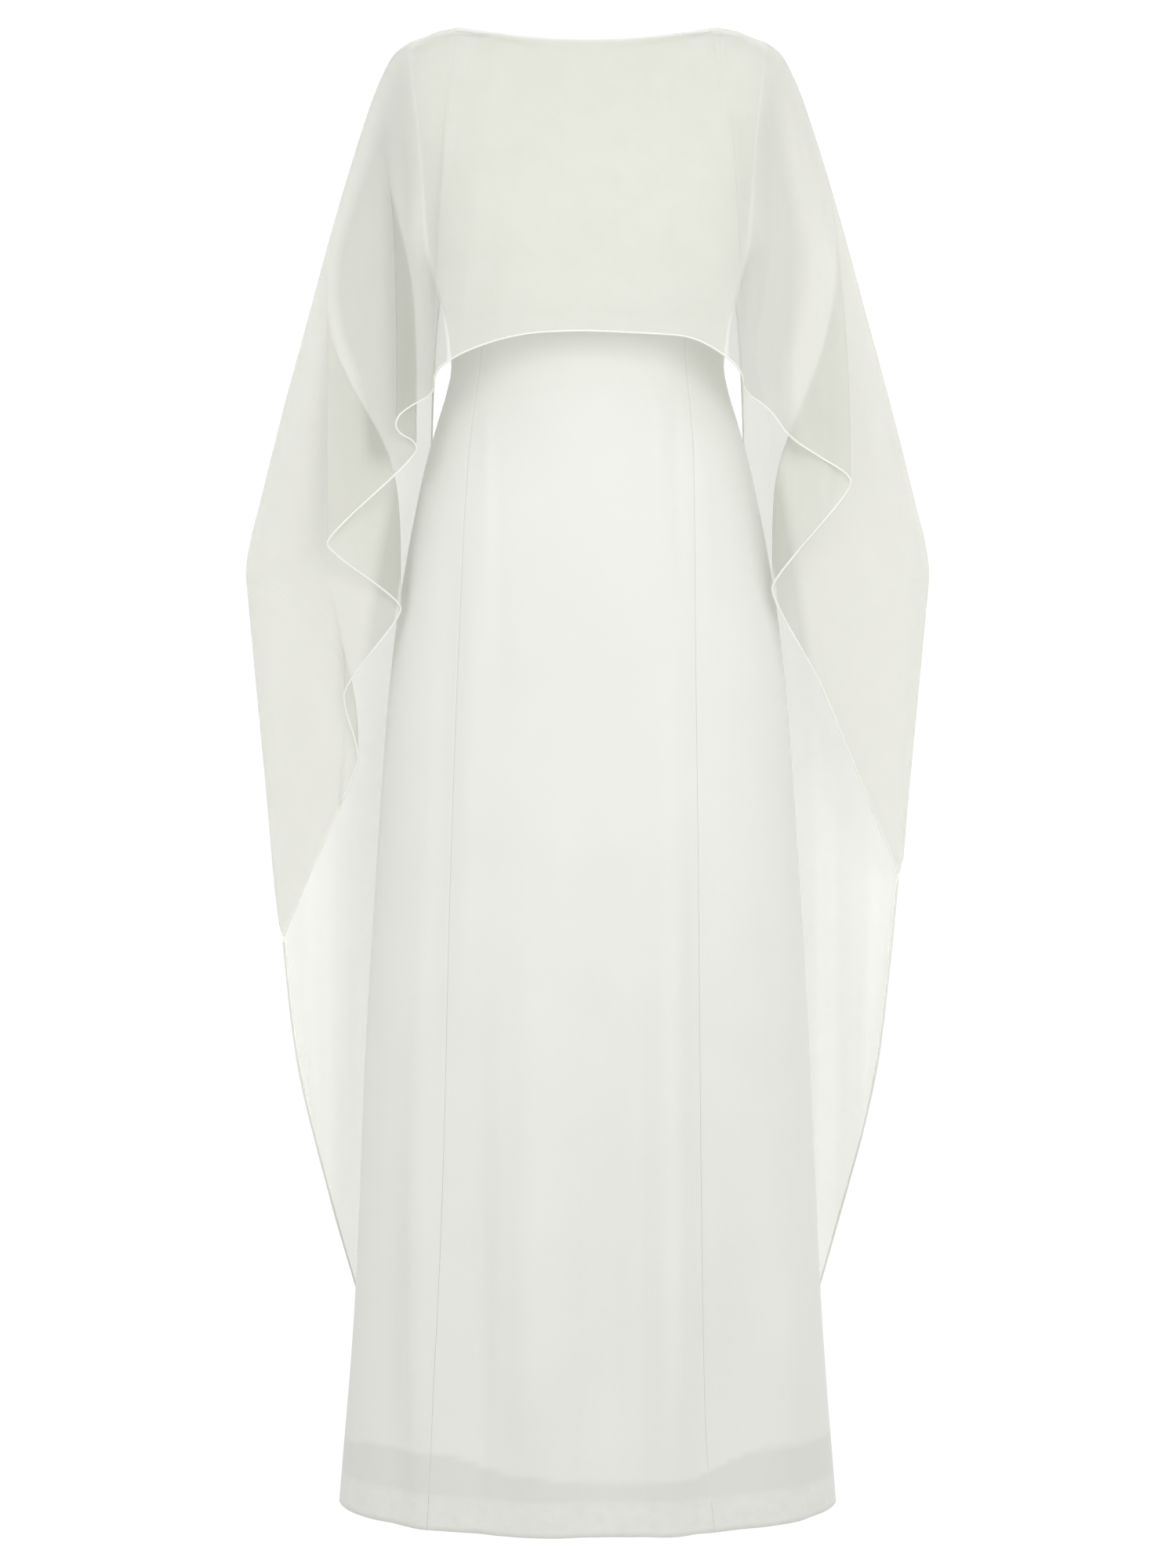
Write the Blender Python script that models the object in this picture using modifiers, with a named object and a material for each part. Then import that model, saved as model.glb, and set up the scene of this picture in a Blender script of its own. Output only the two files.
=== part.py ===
"""Floor-length wedding dress with a chiffon cape, in the hollow form that it has when worn.

The script works in millimetres and makes its meshes in metres, +Z up. The front faces -Y and
the left side of the front view lies at -X. The origin is midway between the two points where
the shoulder seams meet the neck, which is where the dress is carried.
"""

import math
from bisect import bisect_right
from collections import namedtuple

import bmesh
import bpy
from mathutils import Matrix, Vector

MM = 0.001

# Cloth walls and the clearances between pieces, in millimetres
DRESS_WALL = 1.2
LINING_WALL = 1.0
CAPE_WALL = 1.0
TAPE_WALL = 0.8
SEAM_GAP = 0.3
SHOULDER_SEAM = 0.5
LAY = 1.6
LIE_CLEAR = {"front": 2.5, "back": 5}
LIE_FADE = 40
LIE_BLEND = 3

# The dress from the hem up, a row for each level: half its width, how far its front and its
# back stand from the side seams
Section = namedtuple("Section", "height half_width front back")
SECTIONS = [
    Section(-1498, 253, 212, 190),
    Section(-1290, 237, 188, 174),
    Section(-1050, 227, 164, 158),
    Section(-800, 212, 144, 145),
    Section(-690, 204, 137, 138),
    Section(-600, 194, 131, 133),
    Section(-540, 184.5, 126, 128),
    Section(-500, 177, 121, 122),
    Section(-450, 166.5, 113, 111),
    Section(-400, 152.5, 104, 95),
    Section(-370, 143.5, 99, 85),
    Section(-345, 139, 97, 80),
    Section(-310, 142, 101, 84),
    Section(-270, 152, 112, 91),
    Section(-220, 163, 123, 100),
    Section(-165, 166, 113, 106),
    Section(-110, 170, 93, 105),
    Section(-60, 176, 73, 90),
    Section(-21, 181, 58, 62),
    Section(0, 182, 50, 48),
]

# Neckline and shoulders: half the neck opening, the end of the shoulder seam, and how deep and
# how low the neckline dips at the centre
NECK_HALF = 136
SHOULDER_HALF = 181
SHOULDER_DROP = 19
SHOULDER_ROLL = 60
Neckline = namedtuple("Neckline", "depth drop")
NECKLINES = {"front": Neckline(57, 21), "back": Neckline(47, 6)}

# Seam that joins the bodice and the skirt, a little above the waist and hidden by the cape
WAIST_SEAM = -300

# Armhole, an upright oval seen from the side
UNDERARM = -205
ARMHOLE_MIDDLE = -110
ARMHOLE_HALF_HEIGHT = 95
ARMHOLE_HALF_DEPTH = 48

# Room for the bust, shaped by the princess seams
Bust = namedtuple("Bust", "across height rise half_width half_height")
BUST = Bust(84, -208, 10, 42, 50)

# Princess seams of the front and back, which meet at the shoulders, a row for each level:
# distance from the centre on each side
Seam = namedtuple("Seam", "height left right")
PRINCESS = {
    "front": [
        Seam(-1498, 155, 124),
        Seam(-1400, 150, 116),
        Seam(-1200, 143.5, 112),
        Seam(-850, 136, 109),
        Seam(-640, 129, 107),
        Seam(-450, 120, 106),
        Seam(-340, 107, 98),
        Seam(-205, 88, 85),
        Seam(-100, 120, 118),
        Seam(0, 159, 159),
    ],
    "back": [
        Seam(-1498, 136, 136),
        Seam(-1200, 122, 122),
        Seam(-850, 108, 108),
        Seam(-640, 98, 98),
        Seam(-450, 84, 84),
        Seam(-340, 70, 70),
        Seam(-205, 86, 86),
        Seam(-100, 118, 118),
        Seam(0, 159, 159),
    ],
}

# Soft flutes of the skirt, a row for each: place across, how far it stands out (minus for a
# trough), half its width, where it starts and where it is full
Flute = namedtuple("Flute", "face across rise half_width start full")
FLUTES = [
    Flute("front", -190, -4, 16, -1000, -1480),
    Flute("front", -163, 5, 16, -950, -1400),
    Flute("front", -108, -4, 22, -900, -1350),
    Flute("front", -54, 5, 26, -700, -1300),
    Flute("front", 20, -5, 26, -800, -1400),
    Flute("front", 80, 7, 20, -360, -1300),
    Flute("front", 150, -4, 26, -950, -1400),
    Flute("front", 205, 4, 22, -1050, -1480),
    Flute("back", -180, 5, 22, -900, -1400),
    Flute("back", -120, -5, 24, -750, -1350),
    Flute("back", -62, 6, 26, -600, -1300),
    Flute("back", 52, 7, 24, -550, -1250),
    Flute("back", 112, -5, 26, -800, -1350),
    Flute("back", 172, 5, 22, -950, -1450),
]

# Lining of the skirt, a row for each level: how far it hangs inside the dress
Inset = namedtuple("Inset", "height inset")
LINING = [
    Inset(-1440, 12),
    Inset(-1150, 10),
    Inset(-800, 7),
    Inset(-480, 4),
    Inset(-372, 2.6),
]

# The cape's outer line, from the neck over the shoulder and down the arm to the hand, and on
# down the outer fold, a row for each level: how far out it lies and how round it is there
Arm = namedtuple("Arm", "height reach round")
ARM = [
    Arm(-925, 312, 3),
    Arm(-906, 316, 5),
    Arm(-778, 328, 14),
    Arm(-640, 341, 24),
    Arm(-586, 346, 28),
    Arm(-554, 348.5, 30),
    Arm(-522, 344, 33),
    Arm(-490, 336, 36),
    Arm(-394, 312, 38),
    Arm(-298, 286, 40),
    Arm(-202, 260, 42),
    Arm(-106, 231, 46),
    Arm(-58, 214, 50),
    Arm(-42, 206, 52),
    Arm(-26, 196, 54),
    Arm(-15, 183, 54),
    Arm(-9, 167, 52),
    Arm(-2.5, 151, 50),
    Arm(0, 136, 48),
]

# The cape's hem, a row for each fold tip or turning point, from the centre outward. hang is the
# distance along the top line, from the centre of the neck, of the place that it hangs from;
# across, depth and height place its tip; gap is half the space between the two layers of a
# fold; swing says how soon the fall moves across, and fall how soon it moves forward or back.
Fold = namedtuple("Fold", "hang across depth height gap swing fall")
FRONT_LEFT = [
    Fold(0, 0, -147, -324, 0, 1, 2),
    Fold(28, 38, -147, -324, 0, 1, 2),
    Fold(58, 80, -146, -330, 0, 1, 2),
    Fold(86, 113, -141, -340, 0, 1, 2),
    Fold(112, 138, -131, -352, 0, 1.2, 2),
    Fold(132, 152, -116, -361, 0, 1.6, 2),
    Fold(178, 153, -90, -381, 0, 2, 2),
    Fold(225, 175, -92, -391, 0, 2.4, 1.6),
    Fold(262, 193, -100, -412, 7, 3, 1.4),
    Fold(335, 169, -84, -434, 7, 4, 1.3),
    Fold(430, 263, -68, -529, 7, 2, 1.2),
    Fold(560, 186, -54, -592, 7, 4.5, 1.2),
    Fold(680, 247, -36, -677, 6, 2.5, 1.1),
    Fold(779.2, 232, -20, -745, 6, 3, 1),
    Fold(965, 270, -6, -829, 0, 1.6, 1),
    Fold(1129, 310.5, -2, -925, 0, 1, 1),
]
FRONT_RIGHT = [
    Fold(0, 0, -147, -324, 0, 1, 2),
    Fold(28, 32, -147, -325, 0, 1, 2),
    Fold(58, 68, -146, -327, 0, 1, 2),
    Fold(86, 104, -142, -329, 0, 1, 2),
    Fold(112, 134, -132, -345, 0, 1.2, 2),
    Fold(132, 154, -116, -361, 0, 1.6, 2),
    Fold(178, 155, -90, -378, 0, 2, 2),
    Fold(250, 205, -80, -416, 0, 2.4, 1.6),
    Fold(345, 266, -72, -465, 8, 2.2, 1.4),
    Fold(560, 184, -56, -572, 8, 4.5, 1.2),
    Fold(779.2, 236, -30, -668, 4, 2.4, 1.1),
    Fold(915, 277, -12, -765, 0, 1.6, 1),
    Fold(1064, 317, -4, -860, 0, 1, 1),
]
BACK = [
    Fold(7, 165, 176, -1400, 0, 13, 1.5),
    Fold(60, 176, 170, -1436, 0, 13, 1.5),
    Fold(120, 200, 148, -1410, 0, 6.5, 1.4),
    Fold(200, 230, 118, -1340, 0, 3, 1.3),
    Fold(330, 252, 98, -1262, 0, 1.5, 1.2),
    Fold(520, 276, 74, -1168, 0, 1.2, 1.1),
    Fold(680, 292, 54, -1100, 0, 1, 1),
    Fold(864, 305, 32, -1020, 0, 1, 1),
]
BACK_END_LEFT = Fold(1129, 310.5, 2, -931, 0, 1, 1)
BACK_END_RIGHT = Fold(1064, 317, 4, -868, 0, 1, 1)

# Waves of the cape's back, a row for each: place across at the hem and how far back it stands
Wave = namedtuple("Wave", "side across rise half_width")
WAVES = [
    Wave(-1, 205, 7, 14),
    Wave(-1, 240, -6, 14),
    Wave(-1, 281, 6, 14),
    Wave(1, 196, 7, 14),
    Wave(1, 228, -7, 14),
    Wave(1, 262, 7, 14),
]

# Concealed zip in the centre back seam
ZIP_FOOT = -540
TAPE_HALF_WIDTH = 12
SLIDER = Vector((6, 2.6, 11))
SLIDER_MIDDLE = -24
SLIDER_CLEAR = 0.7
SLIDER_BEVEL = 0.5
BAIL_RADIUS = 2.3
BAIL_WIRE = 0.6
BAIL_FOOT = 1.6
BAIL_STEPS = 12
PULL_LENGTH = 22
PULL_HALF_WIDTH = 3.4
PULL_THICKNESS = 1.2
PULL_STEPS = 10
PULL_BAR = 0.7
PULL_NECK = 2.4
PULL_HOLE = 4.4
PULL_HOLE_HALF_WIDTH = 1.3
MERGE = 0.00001

# How finely the pieces are divided
SKIRT_HEIGHTS = [-1498, -1420, -1300, -1150, -1000, -850, -720, -620, -540, -470, -410, -365,
                 -335, WAIST_SEAM - SEAM_GAP / 2]
BODICE_HEIGHTS = [WAIST_SEAM + SEAM_GAP / 2, -250]
BODICE_STEPS = 8
BODICE_CROWDING = 2.4
CENTRE_COLUMNS = 14
SIDE_COLUMNS = 6
BACK_COLUMNS = 5
LINING_COLUMNS = 36
CAPE_STEPS = 13
CAPE_CROWDING = {"front": 1.75, "back": 2.5}
COLUMNS_A_TURN = 3

# Small steps for measuring slopes, and the steepest slope that a clearance allows for
SLOPE_STEP = 2
SHARE_STEP = 0.01
STEEPEST = 4
EDGE_ROUNDS = 8
NECK_SAMPLES = 60
ARM_SAMPLES = 400

# Colours as linear values
CREPE = (0.83, 0.84, 0.78, 1)
CHIFFON = (0.80, 0.81, 0.75, 1)
LINING_COLOUR = (0.76, 0.77, 0.73, 1)
ZIP_COLOUR = (0.85, 0.85, 0.80, 1)
METAL = (0.86, 0.86, 0.84, 1)


def slope(places, values, i):
    """Slope of a smooth curve at one of a table's rows, flat at its peaks and hollows."""
    if i == 0 or i == len(places) - 1:
        first = min(i, len(places) - 2)
        return (values[first + 1] - values[first]) / (places[first + 1] - places[first])
    before = (values[i] - values[i - 1]) / (places[i] - places[i - 1])
    after = (values[i + 1] - values[i]) / (places[i + 1] - places[i])
    if before * after <= 0:
        return 0
    return 2 * before * after / (before + after)


def smooth(rows, height, field):
    """A field of a table at any height, on a smooth curve through its rows."""
    ordered = sorted(rows)
    places = [row.height for row in ordered]
    values = [getattr(row, field) for row in ordered]
    if height <= places[0]:
        return values[0]
    if height >= places[-1]:
        return values[-1]
    i = bisect_right(places, height) - 1
    step = places[i + 1] - places[i]
    share = (height - places[i]) / step
    start = slope(places, values, i) * step
    end = slope(places, values, i + 1) * step
    rise = values[i + 1] - values[i]
    curve = 3 * rise - 2 * start - end + share * (start + end - 2 * rise)
    return values[i] + share * (start + share * curve)


def ramp(share):
    """Rise softly from 0 to 1."""
    share = min(max(share, 0), 1)
    return share * share * (3 - 2 * share)


def quarter(share):
    """Rise from 0 to 1 as a quarter circle does."""
    share = min(max(share, 0), 1)
    return math.sqrt(1 - (1 - share) ** 2)


def bell(distance, half_width):
    """A soft hump, 1 at its middle."""
    return math.exp(-((distance / half_width) ** 2))


def neck_edge(face, across):
    """Depth and height of the cape's upper edge, at a distance from the centre."""
    neckline = NECKLINES[face]
    share = min(across / NECK_HALF, 1)
    depth = SEAM_GAP / 2 + (neckline.depth - SEAM_GAP / 2) * math.sqrt(1 - share * share)
    height = -neckline.drop * (1 - share * share)
    if across > NECK_HALF:
        out = (across - NECK_HALF) / (SHOULDER_HALF - NECK_HALF)
        height = -SHOULDER_DROP * min(out, 1) ** 1.2
    return depth, height


def dress_edge(face, across):
    """Depth and height of the dress's upper edge, which lies just under the cape's."""
    depth, height = neck_edge(face, across)
    share = min(across / NECK_HALF, 1)
    return max(depth - LAY, SHOULDER_SEAM / 2), height - LAY * share


def full_reach(face, height):
    """Half the width that a level would have if no armhole were cut from it."""
    half = smooth(SECTIONS, height, "half_width")
    depth = smooth(SECTIONS, height, face)
    rise = (height - ARMHOLE_MIDDLE) / ARMHOLE_HALF_HEIGHT
    edge = ARMHOLE_HALF_DEPTH * math.sqrt(max(1 - rise * rise, 0))
    return half / math.sqrt(1 - (edge / depth) ** 2)


def flute(face, x, height):
    """How far the skirt's flutes move a point outward."""
    total = 0
    for row in FLUTES:
        if row.face == face:
            grown = ramp((row.start - height) / (row.start - row.full))
            total += row.rise * grown * bell(x - row.across, row.half_width)
    return total


def depth_at(face, x, height):
    """How far the dress stands in front of the side seams, or behind them, at one place."""
    reach = full_reach(face, height)
    share = min(abs(x) / reach, 1)
    depth = smooth(SECTIONS, height, face) * math.sqrt(1 - share * share)
    if face == "front":
        bust = bell(abs(x) - BUST.across, BUST.half_width) * bell(height - BUST.height, BUST.half_height)
        depth += BUST.rise * bust * math.sqrt(1 - share * share)
    edge_depth, edge_height = dress_edge(face, abs(x))
    below = (edge_height - height) / SHOULDER_ROLL
    if below < 1:
        depth = edge_depth + (depth - edge_depth) * quarter(below)
    return depth


def share_of(face, x, height):
    """The share of the way round from the centre to the side at which a place lies."""
    reach = full_reach(face, height)
    end = math.asin(min(smooth(SECTIONS, height, "half_width") / reach, 1))
    return math.asin(min(abs(x) / reach, 1)) / end


def across_at(face, share, height):
    """Distance from the centre at a share of the way round."""
    reach = full_reach(face, height)
    end = math.asin(min(smooth(SECTIONS, height, "half_width") / reach, 1))
    return reach * math.sin(share * end)


def dress_point(face, side, share, height, inset=0):
    """A point in the middle of the dress's wall, or set in from it."""
    x = side * across_at(face, share, height)
    y = depth_at(face, x, height)
    reach = full_reach(face, height)
    normal = Vector((x / reach**2, y / smooth(SECTIONS, height, face) ** 2)).normalized()
    out = flute(face, x, height) * (1 if inset == 0 else 0) - inset
    x += normal.x * out
    y += normal.y * out
    return Vector((x, -y if face == "front" else y, height))


def top_height(face, inner, outer, part):
    """Height of the dress's upper edge on one of a panel's columns."""
    height = 0
    for _ in range(EDGE_ROUNDS):
        share = inner(height) + (outer(height) - inner(height)) * part
        height = dress_edge(face, across_at(face, share, height))[1]
    return height


def bodice_heights(top):
    """Levels from the waist seam to an upper edge, closer together near the edge."""
    ups = [1 - (1 - step / BODICE_STEPS) ** BODICE_CROWDING for step in range(BODICE_STEPS + 1)]
    return BODICE_HEIGHTS + [UNDERARM + (top - UNDERARM) * up for up in ups]


def beside(face, side, share, height, way):
    """A share moved by half a seam gap towards the centre (way -1) or the side (way 1)."""
    near = share - SHARE_STEP if share > 0.5 else share + SHARE_STEP
    step = dress_point(face, side, share, height) - dress_point(face, side, near, height)
    return share + way * SHARE_STEP * (SEAM_GAP / 2) / step.length


def panel_points(part, face, side, inner, outer, columns):
    """Rows of points for a panel of the bodice or the skirt that lies between two seams."""
    shares = [i / columns for i in range(columns + 1)]
    if part == "skirt":
        levels = [SKIRT_HEIGHTS for _ in shares]
    else:
        levels = [bodice_heights(top_height(face, inner, outer, share)) for share in shares]
    points = []
    for row in zip(*levels):
        line = []
        for height, share in zip(row, shares):
            start = inner(height)
            end = outer(height)
            line.append(dress_point(face, side, start + (end - start) * share, height))
        points.append(line)
    return points


def princess_share(face, side, height, way):
    """The edge of a panel at a princess seam, as a share of the way round."""
    across = smooth(PRINCESS[face], height, "left" if side < 0 else "right")
    return beside(face, side, share_of(face, across, height), height, way)


def front_panel_points(part):
    """A centre front panel, from the left princess seam to the right one."""
    halves = []
    for side in (-1, 1):
        def inner(height):
            return 0

        def outer(height, side=side):
            return princess_share("front", side, height, -1)

        halves.append(panel_points(part, "front", side, inner, outer, CENTRE_COLUMNS // 2))
    return [left[::-1] + right[1:] for left, right in zip(*halves)]


def back_panel_points(part, side):
    """A back panel, from the centre back seam to the princess seam."""
    def inner(height):
        return share_of("back", SEAM_GAP / 2, height)

    def outer(height):
        return princess_share("back", side, height, -1)

    return panel_points(part, "back", side, inner, outer, BACK_COLUMNS)


def side_panel_points(part, face, side):
    """A side panel, from the princess seam to the side seam and the armhole."""
    def inner(height):
        return princess_share(face, side, height, 1)

    def outer(height):
        return beside(face, side, 1, height, -1) if height <= UNDERARM else 1

    return panel_points(part, face, side, inner, outer, SIDE_COLUMNS)


def lining_points():
    """Rings of the skirt lining."""
    rings = []
    for row in LINING:
        ring = []
        for i in range(LINING_COLUMNS):
            turn = 4 * i / LINING_COLUMNS
            face = "front" if turn < 1 or turn >= 3 else "back"
            side = 1 if turn < 2 else -1
            share = abs((turn + 1) % 2 - 1)
            ring.append(dress_point(face, side, share, row.height, row.inset))
        rings.append(ring)
    return rings


def make_top_line(face):
    """The line that the cape hangs from, as points with their distance from the centre."""
    line = []
    for i in range(NECK_SAMPLES):
        across = NECK_HALF * math.sin(math.pi / 2 * i / NECK_SAMPLES)
        depth, height = neck_edge(face, across)
        line.append(Vector((across, depth, height)))
    lowest = min(row.height for row in ARM)
    for i in range(ARM_SAMPLES + 1):
        height = lowest * (i / ARM_SAMPLES) ** 2
        line.append(Vector((smooth(ARM, height, "reach"), SEAM_GAP / 2, height)))
    lengths = [0]
    for before, after in zip(line, line[1:]):
        lengths.append(lengths[-1] + (after - before).length)
    return lengths, line


TOP_LINES = {face: make_top_line(face) for face in ("front", "back")}


def top_point(face, distance):
    """A point on the line that the cape hangs from. Its y is a depth, not yet signed."""
    lengths, line = TOP_LINES[face]
    i = min(max(bisect_right(lengths, distance) - 1, 0), len(line) - 2)
    share = (distance - lengths[i]) / (lengths[i + 1] - lengths[i])
    return line[i].lerp(line[i + 1], share)


def roundness(across, height):
    """How far the cape stands away from its outer line where it rounds the shoulder or arm."""
    reach = smooth(ARM, height, "reach")
    above = smooth(ARM, height + SLOPE_STEP, "reach")
    below = smooth(ARM, height - SLOPE_STEP, "reach")
    lean = (below - above) / (2 * SLOPE_STEP)
    away = (reach - across) / math.sqrt(1 + lean * lean)
    radius = smooth(ARM, height, "round")
    return radius * quarter(away / radius)


def clear_depth(face, x, height, depth, below):
    """A depth of the cape, moved out where needed so that it lies on the dress."""
    lay = LAY + LIE_CLEAR[face] * ramp(below / SHOULDER_ROLL)
    half = smooth(SECTIONS, height, "half_width")
    inside = min(abs(x), half - 1)
    here = depth_at(face, inside, height)
    tilt = (depth_at(face, inside - SLOPE_STEP, height) - here) / SLOPE_STEP
    lean = (depth_at(face, inside, height - SLOPE_STEP) - here) / SLOPE_STEP
    steep = min(math.sqrt(1 + tilt * tilt + lean * lean), STEEPEST)
    fade = 1 - ramp((abs(x) - half) / LIE_FADE)
    limit = here * fade + lay * steep
    if fade == 0:
        return depth
    gap = depth - limit
    return limit + (gap + math.sqrt(gap * gap + LIE_BLEND**2)) / 2


def wave(side, across):
    """How far the waves of the cape's back move a point of its hem."""
    return sum(row.rise * bell(across - row.across, row.half_width) for row in WAVES if row.side == side)


def turning_points(folds):
    """The rows of a hem as control points: two for a fold, one for its front and one for its back."""
    points = []
    for row in folds:
        ways = (-1, 1) if row.gap else (0,)
        for way in ways:
            spread = row.gap * way
            points.append(Vector((row.hang + spread, row.across, row.depth + spread, row.height,
                                  row.swing, row.fall)))
    return points


def hem_samples(folds, steps):
    """A smooth line past a hem's turning points, as samples of all their values."""
    points = turning_points(folds)
    last = len(points) - 1
    samples = [points[0]]
    for i in range(1, last):
        start = points[0] if i == 1 else (points[i - 1] + points[i]) / 2
        end = points[last] if i == last - 1 else (points[i] + points[i + 1]) / 2
        for step in range(1, steps + 1):
            share = step / steps
            samples.append(start * (1 - share) ** 2 + points[i] * 2 * share * (1 - share) + end * share**2)
    return samples


def fall_points(face, side, sample, steps):
    """Points down one fall of the cape, from the line it hangs from to its hem."""
    hang, across, depth, height, swing, fall = sample
    sign = -1 if face == "front" else 1
    top = top_point(face, hang)
    if face == "back":
        depth += wave(side, across)
    hem_depth = sign * depth
    top_round = roundness(top.x, top.z)
    hem_round = roundness(across, height)
    points = []
    for i in range(steps + 1):
        down = (i / steps) ** CAPE_CROWDING[face]
        z = top.z + (height - top.z) * down
        x = top.x + (across - top.x) * (1 - (1 - down) ** swing)
        rounded = roundness(x, z) - top_round
        rest = hem_depth - top.y - (hem_round - top_round)
        y = top.y + rounded + rest * (1 - (1 - down) ** fall)
        if i > 0:
            y = clear_depth(face, x, z, y, top.z - z)
        points.append(Vector((side * x, sign * y, z)))
    return points


def cape_points(face, side, folds):
    """Rows of points for one side of the cape, from its top line to its hem."""
    falls = [fall_points(face, side, sample, CAPE_STEPS) for sample in hem_samples(folds, COLUMNS_A_TURN)]
    return [list(row) for row in zip(*falls)]


def cape_front_points():
    """The front of the cape in one piece, from the left arm to the right."""
    left = cape_points("front", -1, FRONT_LEFT)
    right = cape_points("front", 1, FRONT_RIGHT)
    return [one[::-1] + other[1:] for one, other in zip(left, right)]


def tape_points():
    """The zip's closed tapes, lying flat against the inside of the centre back seam."""
    inset = DRESS_WALL / 2 + SEAM_GAP + TAPE_WALL / 2
    top = top_height("back", lambda height: 0, lambda height: 0, 0)
    heights = [height for height in SKIRT_HEIGHTS[:-1] if height >= ZIP_FOOT] + bodice_heights(top)[:-1]
    rows = []
    for height in heights:
        middle = depth_at("back", 0, height)
        first = across_at("back", princess_share("back", 1, height, -1) / BACK_COLUMNS, height)
        edge = middle + (depth_at("back", first, height) - middle) * TAPE_HALF_WIDTH / first
        lean = depth_at("back", 0, height - 1) - middle
        inward = inset * math.sqrt(1 + lean * lean)
        places = ((-TAPE_HALF_WIDTH, edge), (0, middle), (TAPE_HALF_WIDTH, edge))
        rows.append([Vector((across, depth - inward, height)) for across, depth in places])
    return rows


def make_material(name, colour, roughness_value, metallic=0):
    """A plain finish for one kind of piece."""
    material = bpy.data.materials.new(name)
    material.use_nodes = True
    shader = material.node_tree.nodes["Principled BSDF"]
    shader.inputs["Base Color"].default_value = colour
    shader.inputs["Roughness"].default_value = roughness_value
    shader.inputs["Metallic"].default_value = metallic
    material.diffuse_color = colour
    return material


def add_mesh_object(name, mesh, material, collection):
    """Put a mesh in the scene as a named piece."""
    piece = bpy.data.objects.new(name, mesh)
    piece.data.materials.append(material)
    collection.objects.link(piece)
    return piece


def add_cloth(name, rows, wall, material, collection, ring=False):
    """A piece of cloth: an open sheet through rows of points, given its wall by Solidify."""
    mesh = bpy.data.meshes.new(name)
    form = bmesh.new()
    grid = [[form.verts.new(point * MM) for point in row] for row in rows]
    columns = len(rows[0])
    for lower, upper in zip(grid, grid[1:]):
        for i in range(columns if ring else columns - 1):
            j = (i + 1) % columns
            form.faces.new((lower[i], lower[j], upper[j], upper[i]))
    bmesh.ops.recalc_face_normals(form, faces=form.faces)
    form.to_mesh(mesh)
    form.free()
    mesh.shade_smooth()
    piece = add_mesh_object(name, mesh, material, collection)
    solidify = piece.modifiers.new("cloth wall", "SOLIDIFY")
    solidify.thickness = wall * MM
    solidify.offset = 0
    return piece


def slider_place():
    """The middle of the slider, the middle of its bail, and their lean."""
    above = depth_at("back", 0, SLIDER_MIDDLE + SLIDER.z / 2)
    below = depth_at("back", 0, SLIDER_MIDDLE - SLIDER.z / 2)
    lean = math.atan2(below - above, SLIDER.z)
    away = Matrix.Rotation(lean, 4, "X") @ Vector((0, 1, 0))
    seam = Vector((0, (above + below) / 2, SLIDER_MIDDLE))
    middle = seam + away * (DRESS_WALL / 2 + SLIDER_CLEAR + SLIDER.y / 2)
    pivot = middle + away * (SLIDER.y / 2 + SEAM_GAP + PULL_BAR)
    return middle, pivot, lean


def make_bail(pivot, lean, collection):
    """The bent wire on the slider that holds the pull, as a closed mesh."""
    bail_curve = bpy.data.curves.new("bail", "CURVE")
    bail_curve.dimensions = "3D"
    bail_curve.bevel_depth = BAIL_WIRE * MM
    bail_curve.bevel_resolution = 2
    bail_curve.use_fill_caps = True
    arch = [Vector((0, -BAIL_FOOT, BAIL_RADIUS))]
    for i in range(BAIL_STEPS + 1):
        angle = math.pi * i / BAIL_STEPS
        arch.append(Vector((0, BAIL_RADIUS * math.sin(angle), BAIL_RADIUS * math.cos(angle))))
    arch.append(Vector((0, -BAIL_FOOT, -BAIL_RADIUS)))
    wire = bail_curve.splines.new("POLY")
    wire.points.add(len(arch) - 1)
    for point, place in zip(wire.points, arch):
        point.co = (*(place * MM), 1)
    bent = bpy.data.objects.new("bail", bail_curve)
    collection.objects.link(bent)
    bent.location = pivot * MM
    bent.rotation_euler.x = lean
    bpy.context.view_layer.update()
    mesh = bpy.data.meshes.new_from_object(bent.evaluated_get(bpy.context.evaluated_depsgraph_get()))
    mesh.transform(bent.matrix_world)
    bpy.data.objects.remove(bent)
    form = bmesh.new()
    form.from_mesh(mesh)
    bmesh.ops.remove_doubles(form, verts=form.verts, dist=MERGE)
    form.to_mesh(mesh)
    form.free()
    bail = bpy.data.objects.new("bail", mesh)
    collection.objects.link(bail)
    bail.hide_render = True
    bail.display_type = "WIRE"
    return bail


def add_slider(collection, material):
    """The zip's slider: a small block with soft edges, joined with its bail."""
    middle, pivot, lean = slider_place()
    block = bpy.data.meshes.new("zip_slider")
    form = bmesh.new()
    bmesh.ops.create_cube(form, size=1)
    bmesh.ops.scale(form, vec=SLIDER * MM, verts=form.verts)
    form.to_mesh(block)
    form.free()
    slider = add_mesh_object("zip_slider", block, material, collection)
    slider.location = middle * MM
    slider.rotation_euler.x = lean
    bevel = slider.modifiers.new("soft edges", "BEVEL")
    bevel.width = SLIDER_BEVEL * MM
    bevel.segments = 2
    joined = bpy.data.collections.new("joined shapes")
    bpy.context.scene.collection.children.link(joined)
    union = slider.modifiers.new("bail", "BOOLEAN")
    union.operation = "UNION"
    union.object = make_bail(pivot, lean, joined)


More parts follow.
